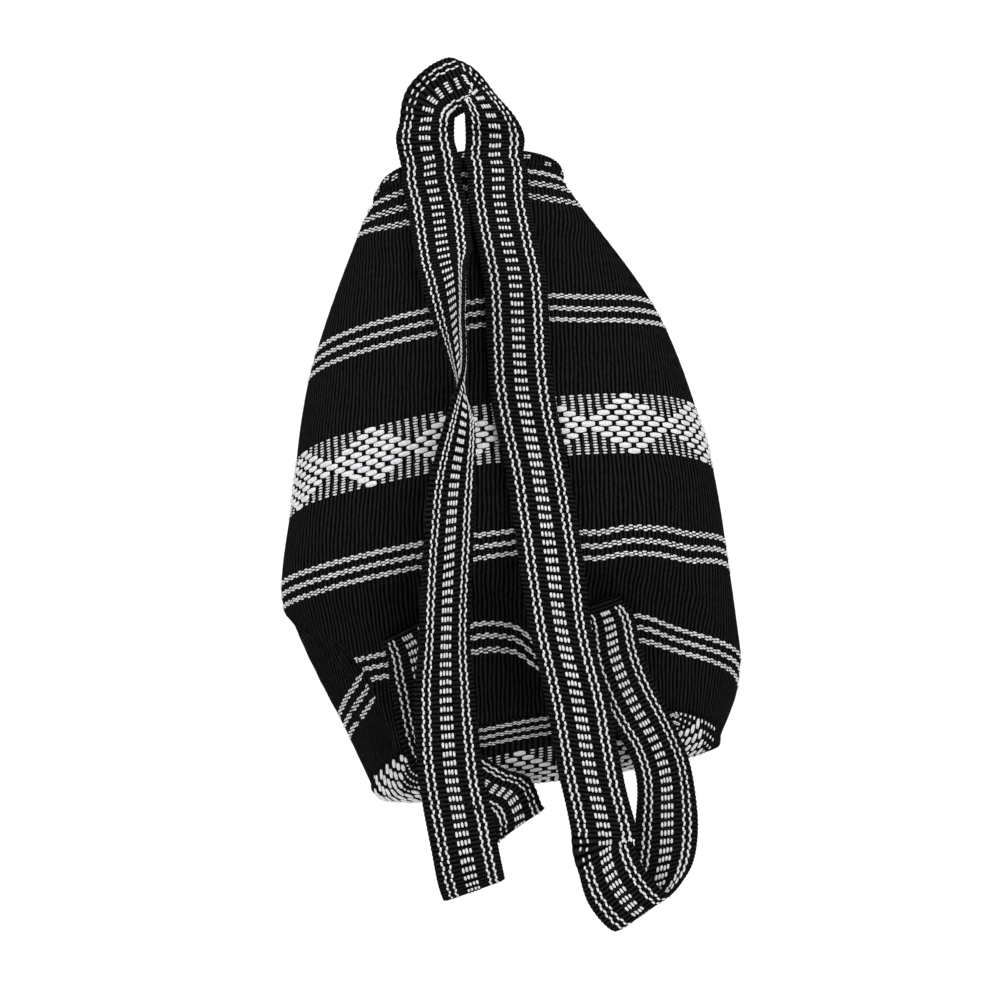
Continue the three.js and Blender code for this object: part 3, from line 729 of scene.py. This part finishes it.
def wall_piece():
    rows_near_seam = np.arange(0, FOLDS_END_ROW, 2)
    rows_between = np.arange(FOLDS_END_ROW, HEM_ROW, 4)
    rows_of_hem = np.arange(HEM_ROW, len(HEIGHTS))
    outer_rows = np.concatenate([rows_near_seam, rows_between, rows_of_hem])
    inner_rows = np.concatenate([rows_of_hem[::-2], np.arange(INNER_ROW, -1, -INNER_STEP)])
    tall = np.concatenate([HEIGHTS[outer_rows], HEIGHTS[inner_rows]])[:, None]
    turn = 2 * math.pi * PLACES
    ribs = np.array([np.interp(PLACES, *place_table(h)) for h in tall[:, 0]]) * RIBS
    crowd = np.abs(np.gradient(ribs, axis=1)) * PLACES_PER_RIB
    ribs += sum(far * np.sin(tall / rise + often * turn) for far, rise, often in WANDERS)
    fades, gone = RELIEF_FADES
    relief = (rib_relief(ribs) * smooth(-crowd, -gone, -fades))[:len(outer_rows), :, None]
    outer = CLOTH_GRID[outer_rows] + CLOTH_NORMAL[outer_rows] * relief
    deep = np.where(HEIGHTS[inner_rows] > RIM - HEM_TALL, 2 * CLOTH, CLOTH)[:, None, None]
    inner = CLOTH_GRID[inner_rows] - CLOTH_NORMAL[inner_rows] * deep
    rows = np.concatenate([outer, inner])
    count = len(PLACES)
    faces = grid_faces(len(rows), count, True)
    last = (len(rows) - 1) * count
    faces += [(last + j, last + (j + 1) % count, (j + 1) % count, j) for j in range(count)]
    uv = np.stack(np.broadcast_arrays(ribs, tall / BEAD), -1).reshape(-1, 2)
    return add_mesh("bag_wall", rows.reshape(-1, 3), faces, BLACK, uv)


wall = wall_piece()
yarn_pieces = []
for node, (height, step) in STRIPES.items():
    piece = lay_on_cloth("yarn_" + node, three_stripes(RIBS, step), height, -0.5)
    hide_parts(node)
    yarn_pieces.append(piece)


# Clusters of specks in the hem: count, spacing in ribs, lowest and highest place, then their specks.
CLUSTERS = 66
CLUSTER_RIBS = 3
CLUSTERS_UP = (-2.5, 3)
SPECK_RIBS = np.array([0, 0, 1, 1])
SPECKS_UP = np.array([-0.9, 0.9, -0.5, 1.3])
SPECK = (1.9, 0.85)


def hem_specks():
    """Small white picks that show here and there in the turned-over hem."""
    clusters = rng.choice(RIBS // CLUSTER_RIBS, CLUSTERS, replace=False) * float(CLUSTER_RIBS)
    rib = (clusters[:, None] + SPECK_RIBS).ravel()
    up = (rng.uniform(*CLUSTERS_UP, CLUSTERS)[:, None] + SPECKS_UP).ravel()
    return rib, up, *(np.full(len(rib), size) for size in SPECK)


specks = lay_on_cloth("yarn_hem_specks", hem_specks(), RIM - HEM_TALL / 2, -0.5)
yarn_pieces.append(specks)
middles = [k * RIBS_PER_DIAMOND for k in range(DIAMONDS)]
row = lay_on_cloth("yarn_diamond_row", diamond_floats(middles), DIAMOND_ROW, 0.5 / DIAMONDS - 0.5)
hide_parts("diamond_row")
yarn_pieces.append(row)


# Base: a lens of cloth from the near seam to the far seam

BASE_RIBS = 92
BASE_ACROSS = BASE_RIBS * PLACES_PER_RIB + 1
BASE_DEEP = 45
# The base's ribs fade where it is less deep than this.
BASE_RIBS_FADE = 20
# Least distances of floats from the base's corners, near seam and far seam, and how far they stray.
CORNER_CLEAR = 3
NEAR_CLEAR = 0.8
FAR_CLEAR = 1
BASE_STRAY = 0.1


def base_grid():
    sides = np.linspace(-1, 1, BASE_ACROSS)
    into = np.linspace(0, 1, BASE_DEEP)[:, None]
    near = on_cloth(sides * 0.25, np.zeros(BASE_ACROSS))[0]
    far = on_cloth(np.where(sides < 0, -0.5, 0.5) - sides * 0.25, np.zeros(BASE_ACROSS))[0]
    depth = (into**BASE_FALL)[..., None]
    grid = near * (1 - depth) + far * depth
    square = np.where(sides < 0, *BASE_ENDS)
    grid[..., 2] -= BASE_SAG * np.sin(math.pi * into) * (1 - np.abs(sides) ** square) + BASE_BELOW
    return grid


BASE_GRID = base_grid()
BASE_NORMAL = -grid_normals(BASE_GRID, False)
BASE_NORMAL[:, 0] = BASE_NORMAL[:, 1]
BASE_NORMAL[:, -1] = BASE_NORMAL[:, -2]
BASE_RUN = run_along(BASE_GRID)
SEAM_RUN = run_along(BASE_GRID[0])


def on_base(along, into):
    """Base points by distance along the strap side's seam, from its middle, and distance in from it."""
    j = np.interp(along + SEAM_RUN[BASE_ACROSS // 2], SEAM_RUN, np.arange(BASE_ACROSS))
    j0 = np.clip(j.astype(int), 0, BASE_ACROSS - 2)
    i = np.array([np.interp(d, BASE_RUN[:, k], np.arange(BASE_DEEP)) for d, k in zip(into, j0)])
    i0 = np.clip(i.astype(int), 0, BASE_DEEP - 2)
    tj, ti = (j - j0)[:, None], (i - i0)[:, None]
    point = between(BASE_GRID, i0, j0, j0 + 1, ti, tj)
    outward = unit(BASE_NORMAL[i0, j0] * (1 - ti) + BASE_NORMAL[i0 + 1, j0] * ti)
    across = square_to(outward, unit(BASE_GRID[i0, j0 + 1] - BASE_GRID[i0, j0]))
    inward = square_to(outward, unit(BASE_GRID[i0 + 1, j0] - BASE_GRID[i0, j0]))
    return point, outward, across, inward


def base_piece():
    ribs = np.linspace(0, BASE_RIBS, BASE_ACROSS)
    fade = np.minimum(1, BASE_RUN[-1] / BASE_RIBS_FADE)
    outer = BASE_GRID + BASE_NORMAL * (rib_relief(ribs) * fade)[None, :, None]
    inner = BASE_GRID - BASE_NORMAL * CLOTH
    inner[:, 0], inner[:, -1] = outer[:, 0], outer[:, -1]
    count = BASE_DEEP * BASE_ACROSS
    faces = grid_faces(BASE_DEEP, BASE_ACROSS, False, flip=True)
    faces += grid_faces(BASE_DEEP, BASE_ACROSS, False, first=count)
    last = count - BASE_ACROSS
    for j in range(BASE_ACROSS - 1):
        faces.append((j, j + 1, count + j + 1, count + j))
        faces.append((last + j + 1, last + j, count + last + j, count + last + j + 1))
    uv = np.stack(np.broadcast_arrays(ribs[None, :], BASE_RUN / BEAD), -1).reshape(-1, 2)
    points = np.concatenate([outer.reshape(-1, 3), inner.reshape(-1, 3)])
    return joined(add_mesh("bag_base", points, faces, BLACK, np.concatenate([uv, uv])))


def lay_on_base(name, along, into, lean, sizes):
    """Floats by distance along the seam, distance in from it and how far each leans inward."""
    along = along + jitter(len(along), BASE_STRAY)
    reach = np.interp(along + SEAM_RUN[BASE_ACROSS // 2], SEAM_RUN, BASE_RUN[-1])
    inside = np.abs(along) < SEAM_RUN[-1] / 2 - CORNER_CLEAR
    inside = inside & (into > NEAR_CLEAR) & (into < reach - FAR_CLEAR)
    point, outward, across, inward = on_base(along[inside], into[inside])
    lean = lean[inside]
    line = across * np.cos(lean)[:, None] + inward * np.sin(lean)[:, None]
    long, wide = (size[inside] for size in sizes)
    spots = (point + outward * YARN_OFF, outward, unit(line))
    return lay_yarn(name, spots, float_sizes(long, wide, BASE_THICK), WHITE)


# The base's stripes: length in ribs, distance in, and how and where they near the seam.
BASE_STRIPE_RIBS = 64
BASE_STRIPES_IN = 6.4
NEAR_SEAM = 0.7
NEARING = (30, 85)
# The base's diamonds: middle along their row, half width in ribs and thin picks a row.
BASE_DIAMONDS = ((-114.8, 10, 1), (-68.4, 10, 1), (-16.0, 10, 2), (38.0, 10, 2), (90.0, 6, 1))
# How deep their row is and where its ends turn to the seam.
BASE_ROW_IN = 36.0
ROW_TURNS = (-66.0, 52.0)
# Shares of a float's width kept in the row and lost at a turn, and of its length kept in both.
ROW_WIDE = 0.98
TURN_NARROWER = 0.05
ROW_LONG = 0.95
TURN_LONG = 0.82


def base_stripe_piece():
    rib, up, long, wide = three_stripes(BASE_STRIPE_RIBS, BASE_STEP / BASE_SQUEEZE)
    along = (rib - BASE_STRIPE_RIBS / 2) * RIB
    into = BASE_STRIPES_IN * (1 - NEAR_SEAM * smooth(np.abs(along), *NEARING)) + up * BASE_SQUEEZE
    sizes = (long, wide * BASE_SQUEEZE)
    return lay_on_base("yarn_base_stripes", along, into, np.zeros(len(along)), sizes)


def base_diamond_piece():
    each = [diamond_floats([middle / RIB], widest, picks) for middle, widest, picks in BASE_DIAMONDS]
    rib, up, long, wide = (np.concatenate(column) for column in zip(*each))
    far = rib * RIB
    left, right = ROW_TURNS
    past = np.maximum(far - right, 0) + np.minimum(far - left, 0)
    turn = past / BASE_ROW_IN
    kept = np.abs(turn) < math.pi / 2
    narrow = ROW_WIDE - TURN_NARROWER * np.sin(np.abs(turn))
    out = BASE_ROW_IN + up
    along = np.clip(far, left, right) + out * np.sin(turn)
    into = out * np.cos(turn)
    tight = np.where(turn == 0, ROW_LONG, TURN_LONG * np.minimum(out / BASE_ROW_IN, 1))
    sizes = (long[kept] * tight[kept], wide[kept] * narrow[kept])
    return lay_on_base("yarn_base_diamonds", along[kept], into[kept], -turn[kept], sizes)


base = base_piece()
base_stripes = base_stripe_piece()
base_diamonds = base_diamond_piece()
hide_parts("base_stripes")
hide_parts("base_diamonds")
yarn_pieces += [base_stripes, base_diamonds]


# Band of the straps and loop. A station is a middle, a direction across and a share of the band's width.

SMALL_TURN = 0.0025
SMALL_RISE = 0.25


def at_wall(sideways, height, lift, turn, twist, share=1.0):
    """A station by place on the wall, distance off it, and turn and twist in degrees."""
    angle = math.asin(sideways)

    def spot(a, h):
        return oval(np.clip(h, 0, RIM), a)

    round_ = unit(spot(angle + SMALL_TURN, height) - spot(angle - SMALL_TURN, height))
    up = unit(spot(angle, height + SMALL_RISE) - spot(angle, height - SMALL_RISE))
    outward = unit(np.cross(round_, up))
    up = np.cross(outward, round_)
    turn, twist = math.radians(turn), math.radians(twist)
    flat = round_ * math.cos(turn) + up * math.sin(turn)
    across = flat * math.cos(twist) - outward * math.sin(twist)
    return spot(angle, height) + outward * lift, across, share


SEAM_MIDDLE = oval(0.0, 0.0)


def way_across(turn, twist):
    """Direction across the band: to the right, turned up and then twisted back."""
    turn, twist = math.radians(turn), math.radians(twist)
    flat = math.cos(twist)
    return np.array([math.cos(turn) * flat, math.sin(twist), math.sin(turn) * flat])


def hanging(*rows):
    """Stations by place from the middle of the near seam, turn and twist."""
    return [(SEAM_MIDDLE + np.array(row[:3]), way_across(*row[3:]), 1.0) for row in rows]


# The band's distance from the cloth where it is sewn on, and the room for white yarn under it.
SEWN_GAP = 0.3
YARN_ROOM = 1.8
ON_CLOTH = SEWN_GAP + STRAP_THICK / 2
OVER_YARN = ON_CLOTH + YARN_ROOM
LEFT_STRAP = [
    at_wall(-0.57, 71, ON_CLOTH, 12, 0, 0.85),
    at_wall(-0.56, 60, OVER_YARN, 12, 0),
    *hanging(
        (-67, 5, 13, 12, 6),
        (-58, -10, -19, 26, 30),
        (-31, -15, -37, 46, 50),
        (-21.5, -10, -42, 36, 38),
        (-17, -9, -52, 18, 38),
        (-17, -5, -58, 33, 20),
        (-27, 1, -54, 62, 14),
        (-40, 1, -62, 50, 55),
        (-44, -5, -76, 22, 30),
        (-39.5, -15, -88.5, 20, 0),
        (-41.5, -25, -78, 16, 0),
        (-46.5, -27, -51, 6, 4),
        (-51, -27, -28, 2, 12),
        (-54, -27, 11, 0, 28),
        (-54, -27, 46, -2, 42),
    ),
    at_wall(-0.25, 112, 17, -2, 46),
    at_wall(-0.2, 152, 17, -3, 54),
    at_wall(-0.15, 188, 18.5, -3, 76),
    at_wall(-0.135, 208, 19.5, -3, -79),
    at_wall(-0.145, 240, 18.5, -4, -60),
    at_wall(-0.165, 272, 15, -5, -33),
    at_wall(-0.195, 298, 8, -6, -8),
    at_wall(-0.24, 330, OVER_YARN, -6, 0),
    at_wall(-0.33, 354, OVER_YARN + 0.6, -4, 0),
]
# The left strap makes half a turn after this many stations.
BELOW_TURN = 20
RIGHT_STRAP = [
    at_wall(0.3, 354, OVER_YARN + 0.6, -4, 0),
    at_wall(0.255, 331, OVER_YARN, -6, 0),
    at_wall(0.21, 297, OVER_YARN + 1.1, -7, 0),
    at_wall(0.19, 272, OVER_YARN + 1.1, -8, 0),
    at_wall(0.12, 203, OVER_YARN + 1.1, -9, 0),
    at_wall(0.15, 152, OVER_YARN + 2.2, -8, 4),
    at_wall(0.16, 109, OVER_YARN + 6.6, -8, 4),
    *hanging(
        (5, -24, 45, -9, 8),
        (13, -26, 11, -9, 4),
        (20, -27, -28, -6, 2),
        (27, -27, -58, -4, 0),
        (27.5, -25, -69, 38, 0),
        (33, -25, -84.5, 37, 0),
        (46, -22, -98.5, 36, 0),
        (54, -12, -92, 28, 0),
        (59, -8, -76, 12, 4),
        (60.5, -7, -55, 5, 10),
        (59, -7, -30, 10, 28),
        (53, -8, -13, 20, 34),
        (41, -8, 9, 25, 26),
        (34, -4, 28, 24, 24),
    ),
    at_wall(0.33, 60, OVER_YARN, 22, 0, 0.8),
    at_wall(0.31, 73, ON_CLOTH, 20, 0, 0.6),
]


def at_loop(x, y, z, turn, lean):
    """A station of the loop by its inner edge, in shares of the band's width."""
    across = way_across(turn, -lean)
    return np.array([x, y, z]) * STRAP_WIDTH - across * STRAP_WIDTH / 2, across, 1.0


HOLE_SIDE = LOOP_HOLE / 2 / STRAP_WIDTH
HOLE_FOOT = -LEG_DROP / STRAP_WIDTH
LOOP = [
    at_loop(-HOLE_SIDE, 0.03, HOLE_FOOT, 0, 8),
    at_loop(-HOLE_SIDE, 0, 0, 0, 20),
    at_loop(-0.062, 0.03, 0.035, -30, 12),
    at_loop(-0.035, 0.06, 0.062, -60, 8),
    at_loop(0.144, 0.047, 0.15, -62, 8),
    at_loop(0.294, 0.006, 0.253, -64, 20),
    at_loop(0.106, -0.141, 0.126, -100, 35),
    at_loop(0.018, -0.4, 0.156, -150, 48),
    at_loop(HOLE_SIDE, -0.35, -0.026, -168, 36),
    at_loop(HOLE_SIDE, -0.17, -0.118, -180, 20),
    at_loop(HOLE_SIDE, 0.03, HOLE_FOOT, -180, 8),
]


def at_hem(side):
    """The station where the left or right leg of the loop is sewn to the hem."""
    height = RIM - HEM_TALL / 2
    lx, _, rx, *_ = ring_values(height)
    middle = LEG_ASIDE + side * (STRAP_WIDTH + LEG_GAP) / 2
    sideways = (middle - (lx + rx) / 2) / ((rx - lx) / 2)
    return at_wall(sideways, height, ON_CLOTH, 0, 0)


def flipped(station):
    middle, across, share = station
    return middle, -across, share


def curve_through(points, per_span):
    """A centripetal curve through points, with a number of steps between each two."""
    points = np.array(points, float)
    points = np.concatenate([[2 * points[0] - points[1]], points, [2 * points[-1] - points[-2]]])
    made = []
    for k in range(1, len(points) - 2):
        p0, p1, p2, p3 = points[k - 1:k + 3]
        d0, d1, d2 = (max(np.linalg.norm(b - a), 1e-4) ** 0.5 for a, b in ((p0, p1), (p1, p2), (p2, p3)))
        t1 = ((p1 - p0) / d0 - (p2 - p0) / (d0 + d1) + (p2 - p1) / d1) * d1
        t2 = ((p2 - p1) / d1 - (p3 - p1) / (d1 + d2) + (p3 - p2) / d2) * d1
        t = np.linspace(0, 1, per_span, endpoint=False)[:, None]
        made.append(cubic(t, p1, p2, t1, t2))
    return np.concatenate(made + [points[-2:-1]])


STATIONS = [*map(flipped, LEFT_STRAP[:BELOW_TURN]), *LEFT_STRAP[BELOW_TURN:], at_hem(-1), *LOOP]
STATIONS += map(flipped, [at_hem(1), *RIGHT_STRAP])
# Steps between stations, length of a cross rib and rows of points to each.
PER_SPAN = 40
CROSS_RIB = 2.35
ROWS_PER_RIB = 4
# How the band's width varies: two long waves, their share and the share at each cross rib.
WIDTH_WAVES = (5.3, 11.7)
WIDTH_VARIES = 0.008
WIDTH_NOTCH = 0.016


def band_frames():
    """The band by rows: place, middle, along, across, outward and width, then its stations' places."""
    middles, ways, shares = zip(*STATIONS)
    path = curve_through(middles, PER_SPAN)
    across = unit(curve_through(ways, PER_SPAN))
    share = np.interp(np.arange(len(path)) / PER_SPAN, np.arange(len(STATIONS)), shares)
    run = run_along(path)
    at = np.arange(0, run[-1], CROSS_RIB / ROWS_PER_RIB)
    middle = np.stack([np.interp(at, run, path[:, k]) for k in range(3)], -1)
    across = unit(np.stack([np.interp(at, run, across[:, k]) for k in range(3)], -1))
    along = unit(np.gradient(middle, axis=0))
    face = unit(np.cross(along, across))
    short, long = WIDTH_WAVES
    uneven = 1 + WIDTH_VARIES * np.sin(at / short) + WIDTH_VARIES * np.sin(at / long + 1)
    uneven -= WIDTH_NOTCH * (1 - np.abs(np.sin(math.pi * at / CROSS_RIB)))
    wide = np.interp(at, run, share) * STRAP_WIDTH * uneven
    return at, middle, along, across, face, wide, run[::PER_SPAN]


BAND_AT, BAND_MIDDLE, BAND_ALONG, BAND_ACROSS, BAND_FACE, BAND_WIDE, STATION_AT = band_frames()

# The left strap curls lengthwise above its half turn: how far it turns across its width, in radians.
CURL = -1.35
CURL_STARTS, _, CURL_FULL, CURL_ENDS = STATION_AT[BELOW_TURN:BELOW_TURN + 4]
BAND_CURL = CURL * smooth(BAND_AT, CURL_STARTS, CURL_FULL) * smooth(-BAND_AT, -CURL_ENDS, -CURL_FULL)
BAND_ROWS = (BAND_MIDDLE, BAND_ACROSS, BAND_FACE, BAND_WIDE, BAND_CURL)
# Half the points across the band, as shares of its width, and how square and thin its edges are.
BAND_HALF = np.array([0.1, 0.2, 0.3, 0.37, 0.44, 0.485, 0.5])
EDGE_SQUARE = 12
EDGE_THIN = 0.1
# Depth of the dips between its cross ribs.
CROSS_DIP = 0.25


def curled(share, row):
    """Points at shares of the band's width, with outward and across directions, by rows of the band."""
    middle, across, face, wide, curl = row
    turn = share * curl
    aside = wide * share * np.sinc(turn / math.pi)
    # The last part keeps the middle of the curled band where the flat one has it.
    out = wide * share * np.sin(turn / 2) * np.sinc(turn / 2 / math.pi) - wide * curl / 24
    return (middle + across * aside + face * out, face * np.cos(turn) - across * np.sin(turn),
            across * np.cos(turn) + face * np.sin(turn))


def band_piece():
    w = np.concatenate([-BAND_HALF[::-1], [0], BAND_HALF])
    thick = np.sqrt(np.clip(1 - (2 * np.abs(w)) ** EDGE_SQUARE, EDGE_THIN, 1)) * STRAP_THICK / 2
    dip = CROSS_DIP * (1 - np.abs(np.sin(math.pi * BAND_AT / CROSS_RIB)))
    rows = [values.reshape(len(BAND_AT), 1, -1) for values in BAND_ROWS]
    top, face, _ = curled(w[None, :, None], rows)
    up = face * (thick[None, :, None] - dip[:, None, None])
    points = np.concatenate([top + up, (top - up)[:, ::-1]], axis=1)
    rows, count = len(points), 2 * len(w)
    faces = grid_faces(rows, count, True)
    faces += [tuple(range(count))[::-1], tuple(range((rows - 1) * count, rows * count))]
    across = np.concatenate([w, w[::-1]]) * STRAP_WIDTH / BEAD
    uv = np.stack(np.broadcast_arrays(across[None, :], BAND_AT[:, None] / CROSS_RIB), -1).reshape(-1, 2)
    return add_mesh("strap_and_loop", points.reshape(-1, 3), faces, BAND, uv)


def on_band(at, across, side):
    """Points of the band's two faces by distance along it and share of its width."""
    i = np.interp(at, BAND_AT, np.arange(len(BAND_AT)))
    i0 = np.minimum(i.astype(int), len(BAND_AT) - 2)
    t = (i - i0)[:, None]

    def mix(a):
        return a[i0] * (1 - t) + a[i0 + 1] * t

    row = [mix(BAND_MIDDLE), unit(mix(BAND_ACROSS)), unit(mix(BAND_FACE))]
    row += [mix(BAND_WIDE[:, None]), mix(BAND_CURL[:, None])]
    point, face, ways = curled(across[:, None], row)
    return point + face * side * STRAP_THICK / 2, face * side, ways, unit(mix(BAND_ALONG))


# The pattern's repeat, the share by which the load draws it out and where from the loop that fades.
GROUP = 4.55
DRAWN_OUT = 0.24
DRAWN_FADES = (60, 170)
LOOP_START = STATION_AT[len(LEFT_STRAP)]
LOOP_END = STATION_AT[len(LEFT_STRAP) + len(LOOP) + 1]
# The ladder's bars: how many, place of the first, step across, and length and width.
BARS = 4
FIRST_BAR = -0.081
BAR_STEP = 0.054
BAR = (2.55, 1.3)
# The twisted lines: places across, then how far floats lie aside and lean, and their length and width.
TWISTED_LINES = (-0.37, -0.27, 0.27, 0.37)
LINE_ASIDE = 0.009
LINE_LEANS = 9
LINE_LONG = 0.48
LINE_WIDE = 1.15
# How far the band's floats stray: along it in millimetres, in length and across as shares.
BAND_STRAY = (0.12, 0.06, 0.002)
# How thick the band's yarn is, and how thick where it is pressed flat by the left strap's turn.
YARN_PROUD = 0.55
YARN_PRESSED = 0.32


def group_starts():
    """Places along the band where its ladder of bars repeats."""
    starts = [GROUP]
    while starts[-1] < BAND_AT[-1] - GROUP:
        away = max(LOOP_START - starts[-1], starts[-1] - LOOP_END, 0)
        drawn = DRAWN_OUT * float(smooth(-away, -DRAWN_FADES[1], -DRAWN_FADES[0]))
        starts.append(starts[-1] + GROUP * (1 + drawn))
    return np.array(starts)


def band_yarn():
    """A ladder of bars up the middle and two twisted lines near each edge."""
    floats = []
    starts = group_starts()
    for start, step in zip(starts[:-1], np.diff(starts)):
        floats += [(start, FIRST_BAR + BAR_STEP * bar, *BAR, 90) for bar in range(BARS)]
        for line in TWISTED_LINES:
            for half, side in ((0, -1), (1, 1)):
                at, lean = start + (half - 0.5) * step / 2, 90 - side * LINE_LEANS
                floats.append((at, line + side * LINE_ASIDE, step * LINE_LONG, LINE_WIDE, lean))
    return np.array(floats, float).T


def lay_band_yarn(name, side):
    at, across, long, wide, lean = band_yarn()
    stray_at, stray_long, stray_across = BAND_STRAY
    at = at + jitter(len(at), stray_at)
    long = long * (1 + jitter(len(at), stray_long))
    across = across + jitter(len(at), stray_across)
    point, face, ways, along = on_band(at, across, side)
    lean = np.radians(lean)[:, None]
    line = unit(ways * np.cos(lean) + along * np.sin(lean))
    turned = smooth(at, *STATION_AT[BELOW_TURN - 1:BELOW_TURN + 1])
    turned = turned * smooth(-at, *-STATION_AT[BELOW_TURN + 4:BELOW_TURN + 2:-1])
    size = np.stack([long, wide, YARN_PROUD + (YARN_PRESSED - YARN_PROUD) * turned], -1)
    return lay_yarn(name, (point, face, line), size, WHITE)


band = band_piece()
band_top = lay_band_yarn("yarn_band_front", 1.0)
band_under = lay_band_yarn("yarn_band_back", -1.0)
yarn_pieces += [band_top, band_under]


# Sewing: a row of stitches round the hem and rows across the band where it is sewn on

# Length, width and thickness of a stitch, and how far above the hem's foot its row lies.
HEM_STITCH = (3.4, 0.8, 0.45)
BAND_STITCH = (2.4, 0.8, 0.45)
HEM_ROW_UP = 2.2
# Rows across the band: distances from its ends and from the hem, stitches in each and its half length.
END_ROWS = (4.0, 11.0)
HEM_ROWS = (-3.5, 3.5)
ROW_STITCHES = 10
ROW_HALF = 0.42
# The first face is the outer one from here to this far before the loop's end.
LEFT_END = 20
BEFORE_LOOP_END = 5


def hem_stitches():
    place = np.arange(RIBS // 2) / (RIBS // 2) - 0.5
    height = np.full(len(place), RIM - HEM_TALL + HEM_ROW_UP)
    point, outward, across, _ = on_cloth(place, height)
    size = np.tile(HEM_STITCH, (len(place), 1))
    return lay_yarn("hem_stitches", (point, outward, across), size, THREAD)


def band_stitches():
    rows = [*END_ROWS, *(BAND_AT[-1] - far for far in END_ROWS[::-1])]
    rows += [spot + step for spot in (LOOP_START, LOOP_END) for step in HEM_ROWS]
    spread = np.linspace(-ROW_HALF, ROW_HALF, ROW_STITCHES)
    at, across = (grid.ravel() for grid in np.meshgrid(rows, spread))
    outer_face = np.where((at > LEFT_END) & (at < LOOP_END - BEFORE_LOOP_END), 1.0, -1.0)
    point, face, ways, _ = on_band(at, across, outer_face[:, None])
    size = np.tile(BAND_STITCH, (len(at), 1))
    return lay_yarn("band_stitches", (point, face, ways), size, THREAD)


stitches = [hem_stitches(), band_stitches()]

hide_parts("body_wall")
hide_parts("base_panel")
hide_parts("strap_band")
for piece in [wall, base, band, *stitches]:
    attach(piece, "root")
for piece in yarn_pieces:
    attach(piece, "root")
bpy.data.objects.remove(YARN_SHAPE)


# Stage, light and camera

# The floor's height and near edge, its bend, the wall's top and half the width of both.
FLOOR = -640
FLOOR_NEAR = -3000
BEND = 800
WALL_TOP = 4000
STAGE_HALF = 4000
# Where the lamps point, in metres.
BAG_MIDDLE = (0.022, 0.0, -0.21)


def sweep():
    """A pale floor that turns up into a pale wall far behind."""
    turns = np.linspace(0.1, math.pi / 2, 12)
    profile = [(FLOOR_NEAR, 0), (BEND, 0)]
    profile += [(BEND + BEND * math.sin(turn), BEND - BEND * math.cos(turn)) for turn in turns]
    profile += [(2 * BEND, WALL_TOP)]
    points = [(x, y, FLOOR + z) for y, z in profile for x in (-STAGE_HALF, STAGE_HALF)]
    material, shader = rough("pale_floor", 0.9)
    shader.inputs["Base Color"].default_value = (0.9, 0.9, 0.9, 1)
    obj = add_mesh("floor_sweep", points, grid_faces(len(profile), 2, False), material)


def lamp(name, place, size, watts):
    data = bpy.data.lights.new(name, "AREA")
    data.size = size
    data.energy = watts
    obj = put_in(name, data)
    obj.location = place
    obj.rotation_euler = (Vector(BAG_MIDDLE) - Vector(place)).to_track_quat("-Z", "Y").to_euler()


sweep()
lamp("soft_right", (0.6, -1.1, 0.5), size=0.7, watts=13)
lamp("soft_left", (-1.1, -0.9, 0.3), size=1.2, watts=10)
lamp("soft_top", (0.0, 0.1, 1.3), size=1.6, watts=9)
world = bpy.data.worlds.new("pale_room")
world.use_nodes = True
world.node_tree.nodes["Background"].inputs["Color"].default_value = (1, 1, 1, 1)
world.node_tree.nodes["Background"].inputs["Strength"].default_value = 0.82
bpy.context.scene.world = world
bpy.context.scene.view_settings.view_transform = "Standard"

camera = bpy.data.cameras.new("photo_camera")
camera.lens = 54.64
camera.sensor_width = 36
camera.clip_start = 0.01
view = put_in("photo_camera", camera)
view.location = (0.0224, -0.85, -0.2134)
view.rotation_euler = (math.pi / 2, 0, 0)
bpy.context.scene.camera = view
